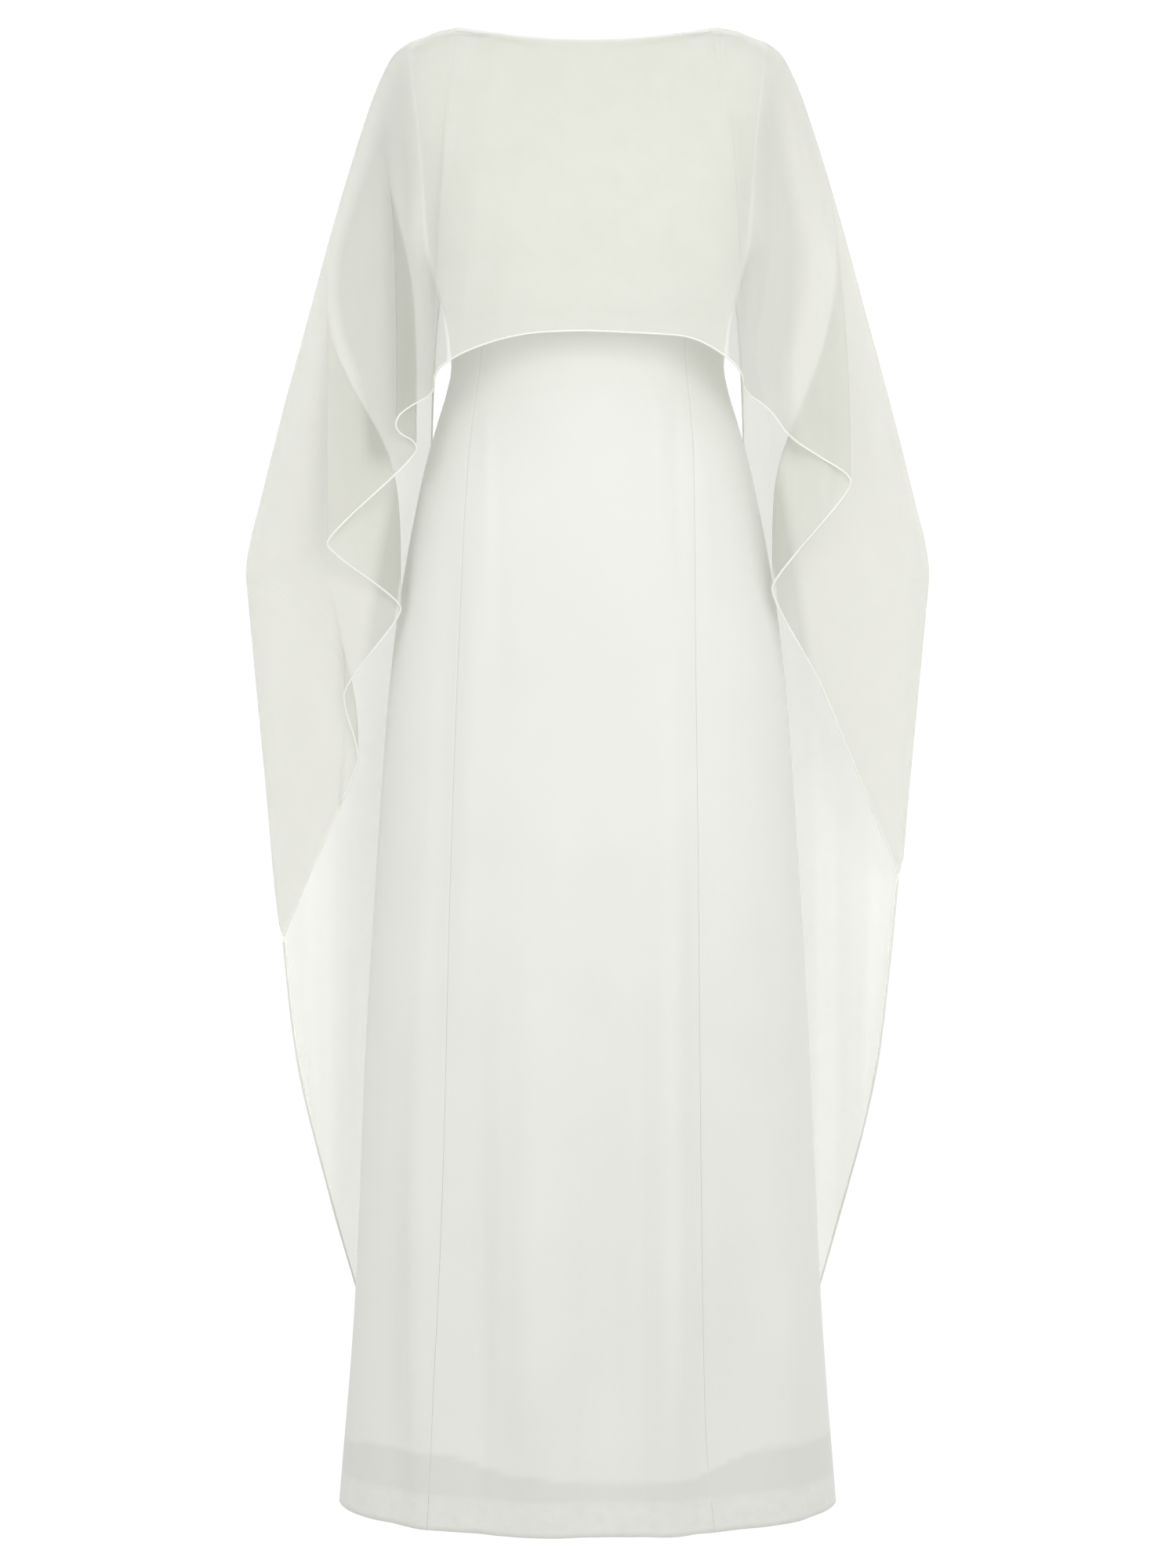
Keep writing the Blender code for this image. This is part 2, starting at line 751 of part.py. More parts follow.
def add_pull(collection, material):
    """The zip's pull, a flat tab with a hole that swings on the bail: an open sheet with Solidify."""
    pivot, lean = slider_place()[1:]
    half_turn = [math.pi * i / PULL_STEPS for i in range(PULL_STEPS + 1)]
    tip = PULL_HALF_WIDTH - PULL_LENGTH
    rim = [Vector((-PULL_NECK, 0, PULL_BAR)), Vector((-PULL_NECK, 0, -PULL_HOLE))]
    rim += [Vector((-PULL_HALF_WIDTH * math.cos(turn), 0, tip - PULL_HALF_WIDTH * math.sin(turn)))
            for turn in half_turn]
    rim += [Vector((PULL_NECK, 0, -PULL_HOLE)), Vector((PULL_NECK, 0, PULL_BAR))]
    hole = [Vector((x, 0, z)) for x, z in ((-PULL_HOLE_HALF_WIDTH, -PULL_BAR),
                                           (-PULL_HOLE_HALF_WIDTH, -PULL_HOLE),
                                           (PULL_HOLE_HALF_WIDTH, -PULL_HOLE),
                                           (PULL_HOLE_HALF_WIDTH, -PULL_BAR))]
    form = bmesh.new()
    outer = [form.verts.new(point * MM) for point in rim]
    inner = [form.verts.new(point * MM) for point in hole]
    form.faces.new((outer[0], outer[1], inner[1], inner[0]))
    form.faces.new((inner[1], outer[1], *outer[2:-2], outer[-2], inner[2]))
    form.faces.new((inner[3], inner[2], outer[-2], outer[-1]))
    form.faces.new((outer[-1], outer[0], inner[0], inner[3]))
    bmesh.ops.recalc_face_normals(form, faces=form.faces)
    mesh = bpy.data.meshes.new("zip_pull")
    form.to_mesh(mesh)
    form.free()
    pull = add_mesh_object("zip_pull", mesh, material, collection)
    pull.location = pivot * MM
    pull.rotation_euler.x = lean
    solidify = pull.modifiers.new("pull's thickness", "SOLIDIFY")
    solidify.thickness = PULL_THICKNESS * MM
    solidify.offset = 0


def main():
    """Clear the scene and make every piece."""
    for old in list(bpy.data.objects):
        bpy.data.objects.remove(old, do_unlink=True)
    collection = bpy.data.collections.new("wedding_dress")
    bpy.context.scene.collection.children.link(collection)

    crepe = make_material("crepe", CREPE, 0.75)
    chiffon = make_material("chiffon", CHIFFON, 0.7)
    lining = make_material("lining satin", LINING_COLOUR, 0.55)
    tape = make_material("zip tape", ZIP_COLOUR, 0.6)
    metal = make_material("painted zinc", METAL, 0.35)

    for part in ("bodice", "skirt"):
        add_cloth(f"{part}_front_centre", front_panel_points(part), DRESS_WALL, crepe, collection)
        for side, word in ((-1, "left"), (1, "right")):
            add_cloth(f"{part}_back_{word}", back_panel_points(part, side), DRESS_WALL, crepe, collection)
            for face in ("front", "back"):
                points = side_panel_points(part, face, side)
                add_cloth(f"{part}_{face}_side_{word}", points, DRESS_WALL, crepe, collection)
    add_cloth("skirt_lining", lining_points(), LINING_WALL, lining, collection, ring=True)

    add_cloth("cape_front", cape_front_points(), CAPE_WALL, chiffon, collection)
    left_back = cape_points("back", -1, BACK + [BACK_END_LEFT])
    right_back = cape_points("back", 1, BACK + [BACK_END_RIGHT])
    add_cloth("cape_back_left", left_back, CAPE_WALL, chiffon, collection)
    add_cloth("cape_back_right", right_back, CAPE_WALL, chiffon, collection)

    add_cloth("zip_tape", tape_points(), TAPE_WALL, tape, collection)
    add_slider(collection, metal)
    add_pull(collection, metal)


main()
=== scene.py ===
# %% [markdown]
# # A wedding dress with a chiffon cape
# The dress is a floor-length sheath of ivory crepe with princess seams, and a sheer chiffon
# cape falls over it from the same neckline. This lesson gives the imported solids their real
# cloths: each panel becomes a thin shell on the same curves as its solid, with turned seams
# and hems, and the chiffon is a single layer that light and the eye pass through.

import math
from collections import namedtuple

import bpy
import numpy as np
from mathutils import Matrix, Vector


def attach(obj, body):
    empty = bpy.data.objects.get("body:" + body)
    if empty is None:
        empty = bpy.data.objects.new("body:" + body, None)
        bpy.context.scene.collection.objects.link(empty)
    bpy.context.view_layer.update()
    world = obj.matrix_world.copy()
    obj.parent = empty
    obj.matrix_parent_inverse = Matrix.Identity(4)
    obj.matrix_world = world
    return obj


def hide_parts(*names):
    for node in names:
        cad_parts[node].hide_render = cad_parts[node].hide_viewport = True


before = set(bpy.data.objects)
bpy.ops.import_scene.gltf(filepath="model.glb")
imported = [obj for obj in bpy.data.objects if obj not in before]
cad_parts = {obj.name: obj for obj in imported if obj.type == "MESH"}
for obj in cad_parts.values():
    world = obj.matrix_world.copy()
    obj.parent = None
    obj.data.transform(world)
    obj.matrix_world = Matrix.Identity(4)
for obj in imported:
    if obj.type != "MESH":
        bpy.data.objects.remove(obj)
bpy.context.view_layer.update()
print("solids:", sorted(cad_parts))

# %% [markdown]
# ## The camera comes first
# The picture is taller than wide and shows 1.6 m of height at the dress, seen level from 4 m
# away, at the height of the hips and knees. Blender gives the longer side of a picture the
# camera's sensor width, so the lens follows from that distance and height.

# %% Camera
MM = 0.001
VIEW_HEIGHT = 1.6
VIEW_DISTANCE = 4.0
CAMERA_ACROSS = 0.0004
CAMERA_HEIGHT = -0.7696
SENSOR = 36

scene = bpy.context.scene
lens = bpy.data.cameras.new("camera")
lens.sensor_width = SENSOR
lens.lens = SENSOR * VIEW_DISTANCE / VIEW_HEIGHT
camera = bpy.data.objects.new("camera", lens)
camera.location = (CAMERA_ACROSS, -VIEW_DISTANCE, CAMERA_HEIGHT)
camera.rotation_euler = (math.pi / 2, 0, 0)
scene.collection.objects.link(camera)
scene.camera = camera
print("lens of", lens.lens, "mm")

# %% [markdown]
# ## The sizes of the dress
# A dressmaker measures a body at a row of levels and joins them with smooth curves. The
# tables below do the same, in millimetres: at each level, half the width of the dress and how
# far its front and its back stand from the side seams. The front faces -Y, and the hem is the
# first row. Each table names its columns first, and one function joins the names to the rows.

# %% Tables of the dress
def table(kind, *rows):
    """Rows of plain numbers, as rows with the named columns of their kind."""
    return [kind(*row) for row in rows]


Section = namedtuple("Section", "height half_width front back")
SECTIONS = table(
    Section,
    (-1498, 253, 212, 190), (-1290, 237, 188, 174), (-1050, 227, 164, 158), (-800, 212, 144, 145),
    (-690, 204, 137, 138), (-600, 194, 131, 133), (-540, 184.5, 126, 128), (-500, 177, 121, 122),
    (-450, 166.5, 113, 111), (-400, 152.5, 104, 95), (-370, 143.5, 99, 85), (-345, 139, 97, 80),
    (-310, 142, 101, 84), (-270, 152, 112, 91), (-220, 163, 123, 100), (-165, 166, 113, 106),
    (-110, 170, 93, 105), (-60, 176, 73, 90), (-21, 181, 58, 62), (0, 182, 50, 48),
)

NECK_HALF = 136
SHOULDER_HALF = 181
SHOULDER_DROP = 19
SHOULDER_BEND = 1.2
SHOULDER_ROLL = 60
SHOULDER_SEAM = 0.5
SEAM_GAP = 0.3
LAY = 1.6
Neckline = namedtuple("Neckline", "depth drop")
NECKLINES = {"front": Neckline(57, 21), "back": Neckline(47, 6)}

UNDERARM = -205
ARMHOLE_MIDDLE = -110
ARMHOLE_HALF_HEIGHT = 95
ARMHOLE_HALF_DEPTH = 48

Bust = namedtuple("Bust", "across height rise half_width half_height")
BUST = Bust(84, -208, 10, 42, 50)

Seam = namedtuple("Seam", "height left right")
PRINCESS = {
    "front": table(
        Seam,
        (-1498, 155, 124), (-1400, 150, 116), (-1200, 143.5, 112), (-850, 136, 109),
        (-640, 129, 107), (-450, 120, 106), (-340, 107, 98), (-205, 88, 85), (-100, 120, 118),
        (0, 159, 159),
    ),
    "back": table(
        Seam,
        (-1498, 136, 136), (-1200, 122, 122), (-850, 108, 108), (-640, 98, 98), (-450, 84, 84),
        (-340, 70, 70), (-205, 86, 86), (-100, 118, 118), (0, 159, 159),
    ),
}

Flute = namedtuple("Flute", "across rise half_width start full")
FLUTES = {
    "front": table(
        Flute,
        (-190, -4, 16, -1000, -1480), (-163, 5, 16, -950, -1400), (-108, -4, 22, -900, -1350),
        (-54, 5, 26, -700, -1300), (20, -5, 26, -800, -1400), (80, 7, 20, -360, -1300),
        (150, -4, 26, -950, -1400), (205, 4, 22, -1050, -1480),
    ),
    "back": table(
        Flute,
        (-180, 5, 22, -900, -1400), (-120, -5, 24, -750, -1350), (-62, 6, 26, -600, -1300),
        (52, 7, 24, -550, -1250), (112, -5, 26, -800, -1350), (172, 5, 22, -950, -1450),
    ),
}
HEM = SECTIONS[0].height
waist = 2 * min(row.half_width for row in SECTIONS)
print("the dress is", -HEM, "mm long and", waist, "mm wide at the waist")

# %% [markdown]
# ## Smooth curves through a table
# A curve that passes every row without swinging past it keeps the waist and hips clean. Its
# slope at each row is the harmonic mean of the slopes on the two sides, which does that. All
# helpers take whole NumPy arrays, so thousands of points are worked out at once.

# %% Helpers for curves
def smooth(rows, height, field):
    """A field of a table at any heights, on a smooth curve through its rows."""
    ordered = sorted(rows)
    places = np.array([row.height for row in ordered], float)
    values = np.array([getattr(row, field) for row in ordered], float)
    height = np.clip(height, places[0], places[-1])
    rates = np.diff(values) / np.diff(places)
    slopes = np.concatenate([rates[:1], np.zeros(len(rates) - 1), rates[-1:]])
    before, after = rates[:-1], rates[1:]
    steady = before * after > 0
    slopes[1:-1][steady] = 2 * before[steady] * after[steady] / (before[steady] + after[steady])
    i = np.clip(np.searchsorted(places, height, side="right") - 1, 0, len(places) - 2)
    step = places[i + 1] - places[i]
    share = (height - places[i]) / step
    start, end = slopes[i] * step, slopes[i + 1] * step
    rise = values[i + 1] - values[i]
    curve = 3 * rise - 2 * start - end + share * (start + end - 2 * rise)
    return values[i] + share * (start + share * curve)


def ramp(share):
    """Rise softly from 0 to 1."""
    share = np.clip(share, 0, 1)
    return share * share * (3 - 2 * share)


def quarter(share):
    """Rise from 0 to 1 as a quarter circle does."""
    return np.sqrt(1 - (1 - np.clip(share, 0, 1)) ** 2)


def bell(distance, half_width):
    """A soft hump, 1 at its middle."""
    return np.exp(-((distance / half_width) ** 2))


def unit(vectors):
    """The same vectors with a length of 1."""
    return vectors / np.maximum(np.linalg.norm(vectors, axis=-1, keepdims=True), 1e-9)


print("half the width at the hips:", round(float(smooth(SECTIONS, -560, "half_width")), 1), "mm")

# %% [markdown]
# ## Creases on top of the flutes
# The broad flutes of the skirt are in the solids too, but shallow. Here those of the front
# stand out 2.6 times as far, which soft frontal light needs, and calm down towards the hem so
# that its edge stays a clean curve. Real cloth has finer creases as well: drag lines at the
# waist, long soft folds from the hips, a few on the back, none like the next. Each row is one
# line on the cloth from its top to its foot, with its rise and half width. A minus makes a
# trough.

# %% Creases of the dress
Crease = namedtuple("Crease", "top_x top_z foot_x foot_z rise half_width")
DRESS_CREASES = {
    "front": table(
        Crease,
        (-99, -350, -100, -640, 1.6, 7), (-92, -380, -84, -760, -1.2, 9),
        (70, -350, 74, -560, 1.3, 6), (88, -340, 92, -620, -1.2, 6),
        (112, -380, 126, -700, 1.2, 8), (-132, -400, -158, -1100, -2.6, 12),
        (-104, -400, -129, -1100, 2.6, 12), (-150, -620, -186, -1498, 2.2, 10),
        (-86, -900, -92, -1498, 1.8, 10), (-28, -640, -30, -1498, 1.6, 12),
        (2, -760, -6, -1498, -1.6, 9), (52, -900, 56, -1498, -1.8, 9),
        (100, -800, 108, -1498, -2.2, 9), (128, -700, 172, -1498, 1.8, 12),
        (170, -760, 222, -1498, -1.8, 11),
    ),
    "back": table(
        Crease,
        (-60, -300, -72, -520, 1.4, 9), (56, -310, 66, -560, 1.4, 9),
        (-30, -420, -34, -1498, 1.8, 12), (24, -460, 26, -1498, -1.8, 11),
        (-100, -560, -150, -1498, 2.2, 11), (92, -520, 140, -1498, 2.2, 11),
        (130, -640, 200, -1498, -2.0, 11), (-140, -640, -208, -1498, -2.0, 11),
    ),
}
CREASE_FADE = 0.35
FLUTE_DEPTH = {"front": 2.6, "back": 1.0}
FLUTE_CALM = 170


def crease_rise(face, x, z):
    """How far the creases of one face move its points outward."""
    total = np.zeros(np.shape(x))
    for row in DRESS_CREASES[face]:
        along = (z - row.top_z) / (row.foot_z - row.top_z)
        middle = row.top_x + (row.foot_x - row.top_x) * np.clip(along, 0, 1)
        fade = ramp(along / CREASE_FADE)
        if row.foot_z > HEM:
            fade = fade * ramp((1 - along) / CREASE_FADE)
        total += row.rise * fade * bell(x - middle, row.half_width)
    return total


def flute_rise(face, x, z):
    """How far the skirt's flutes move its points outward."""
    total = np.zeros(np.shape(x))
    for row in FLUTES[face]:
        grown = ramp((row.start - z) / (row.start - row.full))
        total += row.rise * grown * bell(x - row.across, row.half_width)
    return (1 + (FLUTE_DEPTH[face] - 1) * ramp((z - HEM) / FLUTE_CALM)) * total


print({face: len(rows) for face, rows in DRESS_CREASES.items()}, "creases on the dress")

# %% [markdown]
# ## The surface of the dress
# Every point is found from its level and from its share of the way round, -1 at the left side
# seam, 0 at the centre and 1 at the right side seam. The armholes are ovals cut from the
# sides, so the panels are narrower there. The upper edge rolls over the shoulder in a quarter
# circle.

# %% The dress as a surface
def neck_edge(face, across):
    """Depth and height of the cape's upper edge, at a distance from the centre."""
    neckline = NECKLINES[face]
    share = np.minimum(across / NECK_HALF, 1)
    depth = SEAM_GAP / 2 + (neckline.depth - SEAM_GAP / 2) * np.sqrt(1 - share * share)
    out = np.clip((across - NECK_HALF) / (SHOULDER_HALF - NECK_HALF), 0, 1)
    neck = -neckline.drop * (1 - share * share)
    return depth, np.where(across > NECK_HALF, -SHOULDER_DROP * out**SHOULDER_BEND, neck)


def dress_edge(face, across):
    """Depth and height of the dress's upper edge, which lies just under the cape's."""
    depth, height = neck_edge(face, across)
    share = np.minimum(across / NECK_HALF, 1)
    return np.maximum(depth - LAY, SHOULDER_SEAM / 2), height - LAY * share


def full_reach(face, z):
    """Half the width that a level would have if no armhole were cut from it."""
    rise = (z - ARMHOLE_MIDDLE) / ARMHOLE_HALF_HEIGHT
    edge = ARMHOLE_HALF_DEPTH * np.sqrt(np.maximum(1 - rise * rise, 0))
    return smooth(SECTIONS, z, "half_width") / np.sqrt(1 - (edge / smooth(SECTIONS, z, face)) ** 2)


def depth_at(face, x, z):
    """How far the dress stands in front of the side seams, or behind them."""
    share = np.minimum(np.abs(x) / full_reach(face, z), 1)
    flat = np.sqrt(1 - share * share)
    depth = smooth(SECTIONS, z, face) * flat
    if face == "front":
        bust = bell(np.abs(x) - BUST.across, BUST.half_width)
        bust = bust * bell(z - BUST.height, BUST.half_height)
        depth = depth + BUST.rise * bust * flat
    edge_depth, edge_height = dress_edge(face, np.abs(x))
    below = (edge_height - z) / SHOULDER_ROLL
    return np.where(below < 1, edge_depth + (depth - edge_depth) * quarter(below), depth)


def end_turn(face, z):
    """The angle of the side seam or of the armhole's edge, seen from the middle."""
    return np.arcsin(np.minimum(smooth(SECTIONS, z, "half_width") / full_reach(face, z), 1))


def share_of(face, x, z):
    """The share of the way round at which a place lies."""
    return np.arcsin(np.clip(x / full_reach(face, z), -1, 1)) / end_turn(face, z)


def across_at(face, share, z):
    """Distance from the centre at a share of the way round."""
    return full_reach(face, z) * np.sin(share * end_turn(face, z))


def dress_points(face, share, z, inset=0.0, folds=1.0):
    """Points of the dress in millimetres, and the way out of the cloth at each."""
    sign = -1 if face == "front" else 1
    x = across_at(face, share, z)
    depth = depth_at(face, x, z)
    steep = depth / smooth(SECTIONS, z, face) ** 2
    side, front = np.moveaxis(unit(np.stack([x / full_reach(face, z) ** 2, steep], axis=-1)), -1, 0)
    out = folds * (flute_rise(face, x, z) + crease_rise(face, x, z)) - inset
    points = np.stack([x + side * out, sign * (depth + front * out), z + 0 * x], axis=-1)
    return points, np.stack([side, sign * front, 0 * x], axis=-1)


print("the front stands", round(float(depth_at("front", 84.0, -208.0))), "mm out at the bust")

# %% [markdown]
# ## Panels with turned edges
# A cut edge of cloth is never left showing. At a seam both panels turn inward and lie flat
# inside, which draws a fine groove on the outside. The solids keep 0.3 mm between two panels;
# here they are sewn, so they almost touch. The right princess seam is pressed flatter than the
# left, and hardly shows. At the hem the cloth is folded up by 31 mm and caught with small
# stitches. So the sheet of each panel goes on round its edges and lies inside itself, as the
# cloth does. The bodice and the skirt meet in a level seam that the cape hides.

# %% Grids of points for the panels
WAIST_SEAM = -300
TURN = 0.3
FLAT_TURN = 0.12
FLAT_SEAM = "princess right"
SEAM_CLOSED = 0.05
ALLOWANCE = 8
HEM_FOLD = 31
FOLD_INSET = 1.2
EDGE_TURN = [(0.7, 0.3), (1, 1), (0.6, 1.8)]
ALLOWANCE_DOWN = 0.72
COLUMN_WIDTH = 4
HEM_ROW = 5
SKIRT_ROW = 11
HEM_ROWS_TO = HEM + 100
LOWER_BODICE_ROWS = 10
BODICE_ROWS = 26
BODICE_CROWDING = 1.5
EDGE_ROUNDS = 8
EASE = 1.15
skirt_rows = round((WAIST_SEAM - HEM_ROWS_TO) / SKIRT_ROW) + 1
SKIRT_LEVELS = np.concatenate([
    np.arange(HEM, HEM_ROWS_TO, HEM_ROW),
    np.linspace(HEM_ROWS_TO, WAIST_SEAM - SEAM_GAP / 2, skirt_rows),
])
BODICE_LEVELS = np.linspace(WAIST_SEAM + SEAM_GAP / 2, UNDERARM, LOWER_BODICE_ROWS)

Panel = namedtuple("Panel", "name face left right")
PANELS = table(
    Panel,
    ("front_centre", "front", "princess left", "princess right"),
    ("front_side_left", "front", "side left", "princess left"),
    ("front_side_right", "front", "princess right", "side right"),
    ("back_side_left", "back", "side left", "princess left"),
    ("back_left", "back", "princess left", "centre"),
    ("back_right", "back", "centre", "princess right"),
    ("back_side_right", "back", "princess right", "side right"),
)


def edge_share(face, edge, z):
    """The share of the way round at which a panel's edge lies."""
    if edge == "centre":
        return 0 * z
    name, side = edge.split()
    sign = -1 if side == "left" else 1
    if name == "side":
        return sign + 0 * z
    return share_of(face, sign * smooth(PRINCESS[face], z, side), z)


def panel_levels(part, face, left, right, parts):
    """The levels of a panel's rows: straight in the skirt, fitted to the upper edge in the bodice."""
    if part == "skirt":
        return np.repeat(SKIRT_LEVELS[:, None], len(parts), axis=1)
    top = np.zeros(len(parts))
    for _ in range(EDGE_ROUNDS):
        share = edge_share(face, left, top) * (1 - parts) + edge_share(face, right, top) * parts
        top = dress_edge(face, np.abs(across_at(face, share, top)))[1]
    ups = 1 - (1 - np.arange(1, BODICE_ROWS + 1) / BODICE_ROWS) ** BODICE_CROWDING
    return np.concatenate([np.repeat(BODICE_LEVELS[:, None], len(parts), axis=1),
                           UNDERARM + (top - UNDERARM) * ups[:, None]])


def panel_grid(part, face, left, right):
    """Points and outward ways of a panel, before its edges are turned."""
    low = HEM if part == "skirt" else UNDERARM
    ends = [across_at(face, edge_share(face, edge, low), low) for edge in (left, right)]
    parts = np.linspace(0, 1, int((ends[1] - ends[0]) * EASE / COLUMN_WIDTH) + 2)
    z = panel_levels(part, face, left, right, parts)
    start, end = edge_share(face, left, z), edge_share(face, right, z)
    return dress_points(face, start * (1 - parts) + end * parts, z)


def turn_end(points, normals, gap=0.0, turn=TURN):
    """Turn a sheet in beyond its last row, with a small rounded edge."""
    way = unit(points[-1] - points[-2])
    edge = points[-1] - way * (gap + turn)
    steps = [(out * turn, down * turn) for out, down in EDGE_TURN] + [(-ALLOWANCE, ALLOWANCE_DOWN)]
    over = np.stack([edge + way * out - normals[-1] * down for out, down in steps])
    return (np.concatenate([points[:-1], edge[None], over]),
            np.concatenate([normals, np.repeat(normals[-1:], len(over), axis=0)]))


def turn_edges(part, panel, points, normals):
    """Turn in all the edges of a panel, and fold the skirt's hem up inside."""
    for edge in (panel.right, panel.left):
        turn = FLAT_TURN if (panel.face, edge) == ("front", FLAT_SEAM) else TURN
        points, normals = turn_end(points.swapaxes(0, 1), normals.swapaxes(0, 1), SEAM_CLOSED, turn)
        points, normals = points[::-1].swapaxes(0, 1), normals[::-1].swapaxes(0, 1)
    points, normals = turn_end(points, normals)
    if part == "bodice":
        return turn_end(points[::-1], normals[::-1])[0][::-1]
    rows = int((SKIRT_LEVELS <= HEM + HEM_FOLD).sum())
    inside = (points[:rows] - normals[:rows] * FOLD_INSET)[::-1]
    edge = points[:1] - normals[:1] * FOLD_INSET / 2 - np.array([0, 0, FOLD_INSET / 2])
    return np.concatenate([inside, edge, points])


print(len(SKIRT_LEVELS), "rows in each panel of the skirt")

# %% [markdown]
# ## Meshes and pieces
# Each piece is a grid of points with a face in every cell. It rides on the body of the part
# that it belongs to, and stands for the plain solid of the same name.

# %% Meshes from grids
def sheet_mesh(name, grid, layers=None, closed=False):
    """A mesh with a face in each cell of a grid of points, facing away from the middle."""
    index = np.arange(grid.shape[0] * grid.shape[1]).reshape(grid.shape[:2])
    if closed:
        index = np.concatenate([index, index[:, :1]], axis=1)
    rings = [index[:-1, :-1], index[:-1, 1:], index[1:, 1:], index[1:, :-1]]
    faces = np.stack(rings, axis=-1).reshape(-1, 4)
    spots = grid.reshape(-1, 3)
    corners = spots[faces]
    normals = np.cross(corners[:, 1] - corners[:, 0], corners[:, 3] - corners[:, 0])
    if (normals[:, :2] * corners.mean(axis=1)[:, :2]).sum() < 0:
        faces = faces[:, ::-1]
    mesh = bpy.data.meshes.new(name)
    mesh.from_pydata((spots * MM).tolist(), [], faces.tolist())
    for title, values in (layers or {}).items():
        layer = mesh.attributes.new(title, "FLOAT", "POINT")
        layer.data.foreach_set("value", np.ascontiguousarray(values, np.float32).ravel())
    mesh.shade_smooth()
    return mesh


def add_piece(name, data, material, node=None, body="dress"):
    """Put a mesh or curve in the scene as a piece that rides on a body."""
    piece = bpy.data.objects.new(name, data)
    scene.collection.objects.link(piece)
    data.materials.append(material)
    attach(piece, body)
    if node:
        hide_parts(node)
    return piece


# %% [markdown]
# ## Colours, and one function for nodes
# All the cloth is the same ivory, a white with a little green and yellow in it. Colours are
# written as sRGB hex values, as a colour chart gives them, and one function turns them into
# the linear numbers that Blender works with. Another adds a node with its settings and links,
# and every texture is laid out by the places on its own piece.

# %% Colours and node helper
def linear(code):
    """A colour written as sRGB hex, as linear red, green, blue and alpha."""
    parts = [int(code[i:i + 2], 16) / 255 for i in (1, 3, 5)]
    return (*[p / 12.92 if p <= 0.04045 else ((p + 0.055) / 1.055) ** 2.4 for p in parts], 1)


def add_node(material, kind, settings=None, links=None, to=None):
    """Add a node, set and link its inputs by name or number, and link its first output."""
    node = material.node_tree.nodes.new(kind)
    inputs = {}
    for name, value in (settings or {}).items():
        if isinstance(name, str) and hasattr(node, name):
            setattr(node, name, value)
        else:
            inputs[name] = value
    for name, value in inputs.items():
        node.inputs[name].default_value = value
    for name, source in (links or {}).items():
        material.node_tree.links.new(source, node.inputs[name])
    if to is not None:
        material.node_tree.links.new(node.outputs[0], to)
    return node


def new_material(name, colour, roughness, values=None):
    """A material, its Principled shader with plain values, and the places on its piece."""
    material = bpy.data.materials.new(name)
    material.use_nodes = True
    shader = material.node_tree.nodes["Principled BSDF"]
    shader.inputs["Base Color"].default_value = linear(colour)
    shader.inputs["Roughness"].default_value = roughness
    for title, value in (values or {}).items():
        shader.inputs[title].default_value = value
    material.diffuse_color = linear(colour)
    return material, shader, add_node(material, "ShaderNodeTexCoord").outputs["Object"]


print("ivory in linear values:", [round(v, 3) for v in linear("#DFE0D7")])

# %% [markdown]
# ## Crepe
# Crepe is woven from hard-twisted yarn that shrinks when it is washed, so its face is covered
# with tiny pebbles and has no shine. The real pebbles are about 0.4 mm across, too fine for
# the picture, so they are drawn at 2.2 mm and very shallow. A wide noise gives the faint
# clouding of soft white cloth. Below the lining's hem no second layer sends light back through
# the crepe, so a painted shade makes it a little greyer there. The turned-up hem is double and a
# bit crumpled. It is spared that painted grey, and painted shade darkens the hollows of its crumples.

# %% Crepe
PEBBLE = 2.2
CLOUD = 90
CRUMPLE = 13

crepe, shader, where = new_material("ivory matt crepe, pebbled weave", "#DCDDD6", 0.8, {
    "Sheen Weight": 0.4, "Sheen Roughness": 0.5, "Specular IOR Level": 0.2})
pebbles, clouds, crumples = [
    add_node(crepe, "ShaderNodeTexNoise", {"Scale": 1 / (size * MM), "Detail": detail},
             {"Vector": where})
    for size, detail in ((PEBBLE, 1.5), (CLOUD, 3.0), (CRUMPLE, 2.5))
]
unlined, doubled = [
    add_node(crepe, "ShaderNodeAttribute", {"attribute_name": layer}).outputs["Fac"]
    for layer in ("unlined", "doubled")
]
clouded = add_node(crepe, "ShaderNodeMix", {
    "data_type": "RGBA", 6: linear("#DADBD4"), 7: linear("#DFE0DA")}, {0: clouds.outputs["Fac"]})
# Painted shade: below the lining's hem the colour turns greyer, standing in for the light that no lining
# sends back.
painted_unlined_shade = add_node(crepe, "ShaderNodeMix", {"data_type": "RGBA", 7: linear("#D4D5CF")},
                  {0: unlined, 6: clouded.outputs[2]})
# Painted shade in the hem band: the colour is darker where the crumples' height is low, and lighter on
# their tops.
painted_crumple_shade = add_node(crepe, "ShaderNodeMix", {
    "data_type": "RGBA", 6: linear("#D5D6D0"), 7: linear("#DEDFD9")}, {0: crumples.outputs["Fac"]})
banded = add_node(crepe, "ShaderNodeMix", {"data_type": "RGBA"},
                  {0: doubled, 6: painted_unlined_shade.outputs[2], 7: painted_crumple_shade.outputs[2]})
crepe.node_tree.links.new(banded.outputs[2], shader.inputs["Base Color"])
crumpled = add_node(crepe, "ShaderNodeMath", {"operation": "MULTIPLY"},
                    {0: crumples.outputs["Fac"], 1: doubled})
fine = add_node(crepe, "ShaderNodeBump", {"Strength": 0.25, "Distance": 0.12 * MM},
                {"Height": pebbles.outputs["Fac"]})
add_node(crepe, "ShaderNodeBump", {"Strength": 0.5, "Distance": 1.2 * MM},
         {"Height": crumpled.outputs[0], "Normal": fine.outputs["Normal"]}, shader.inputs["Normal"])
print("crepe pebbles drawn", PEBBLE, "mm across")
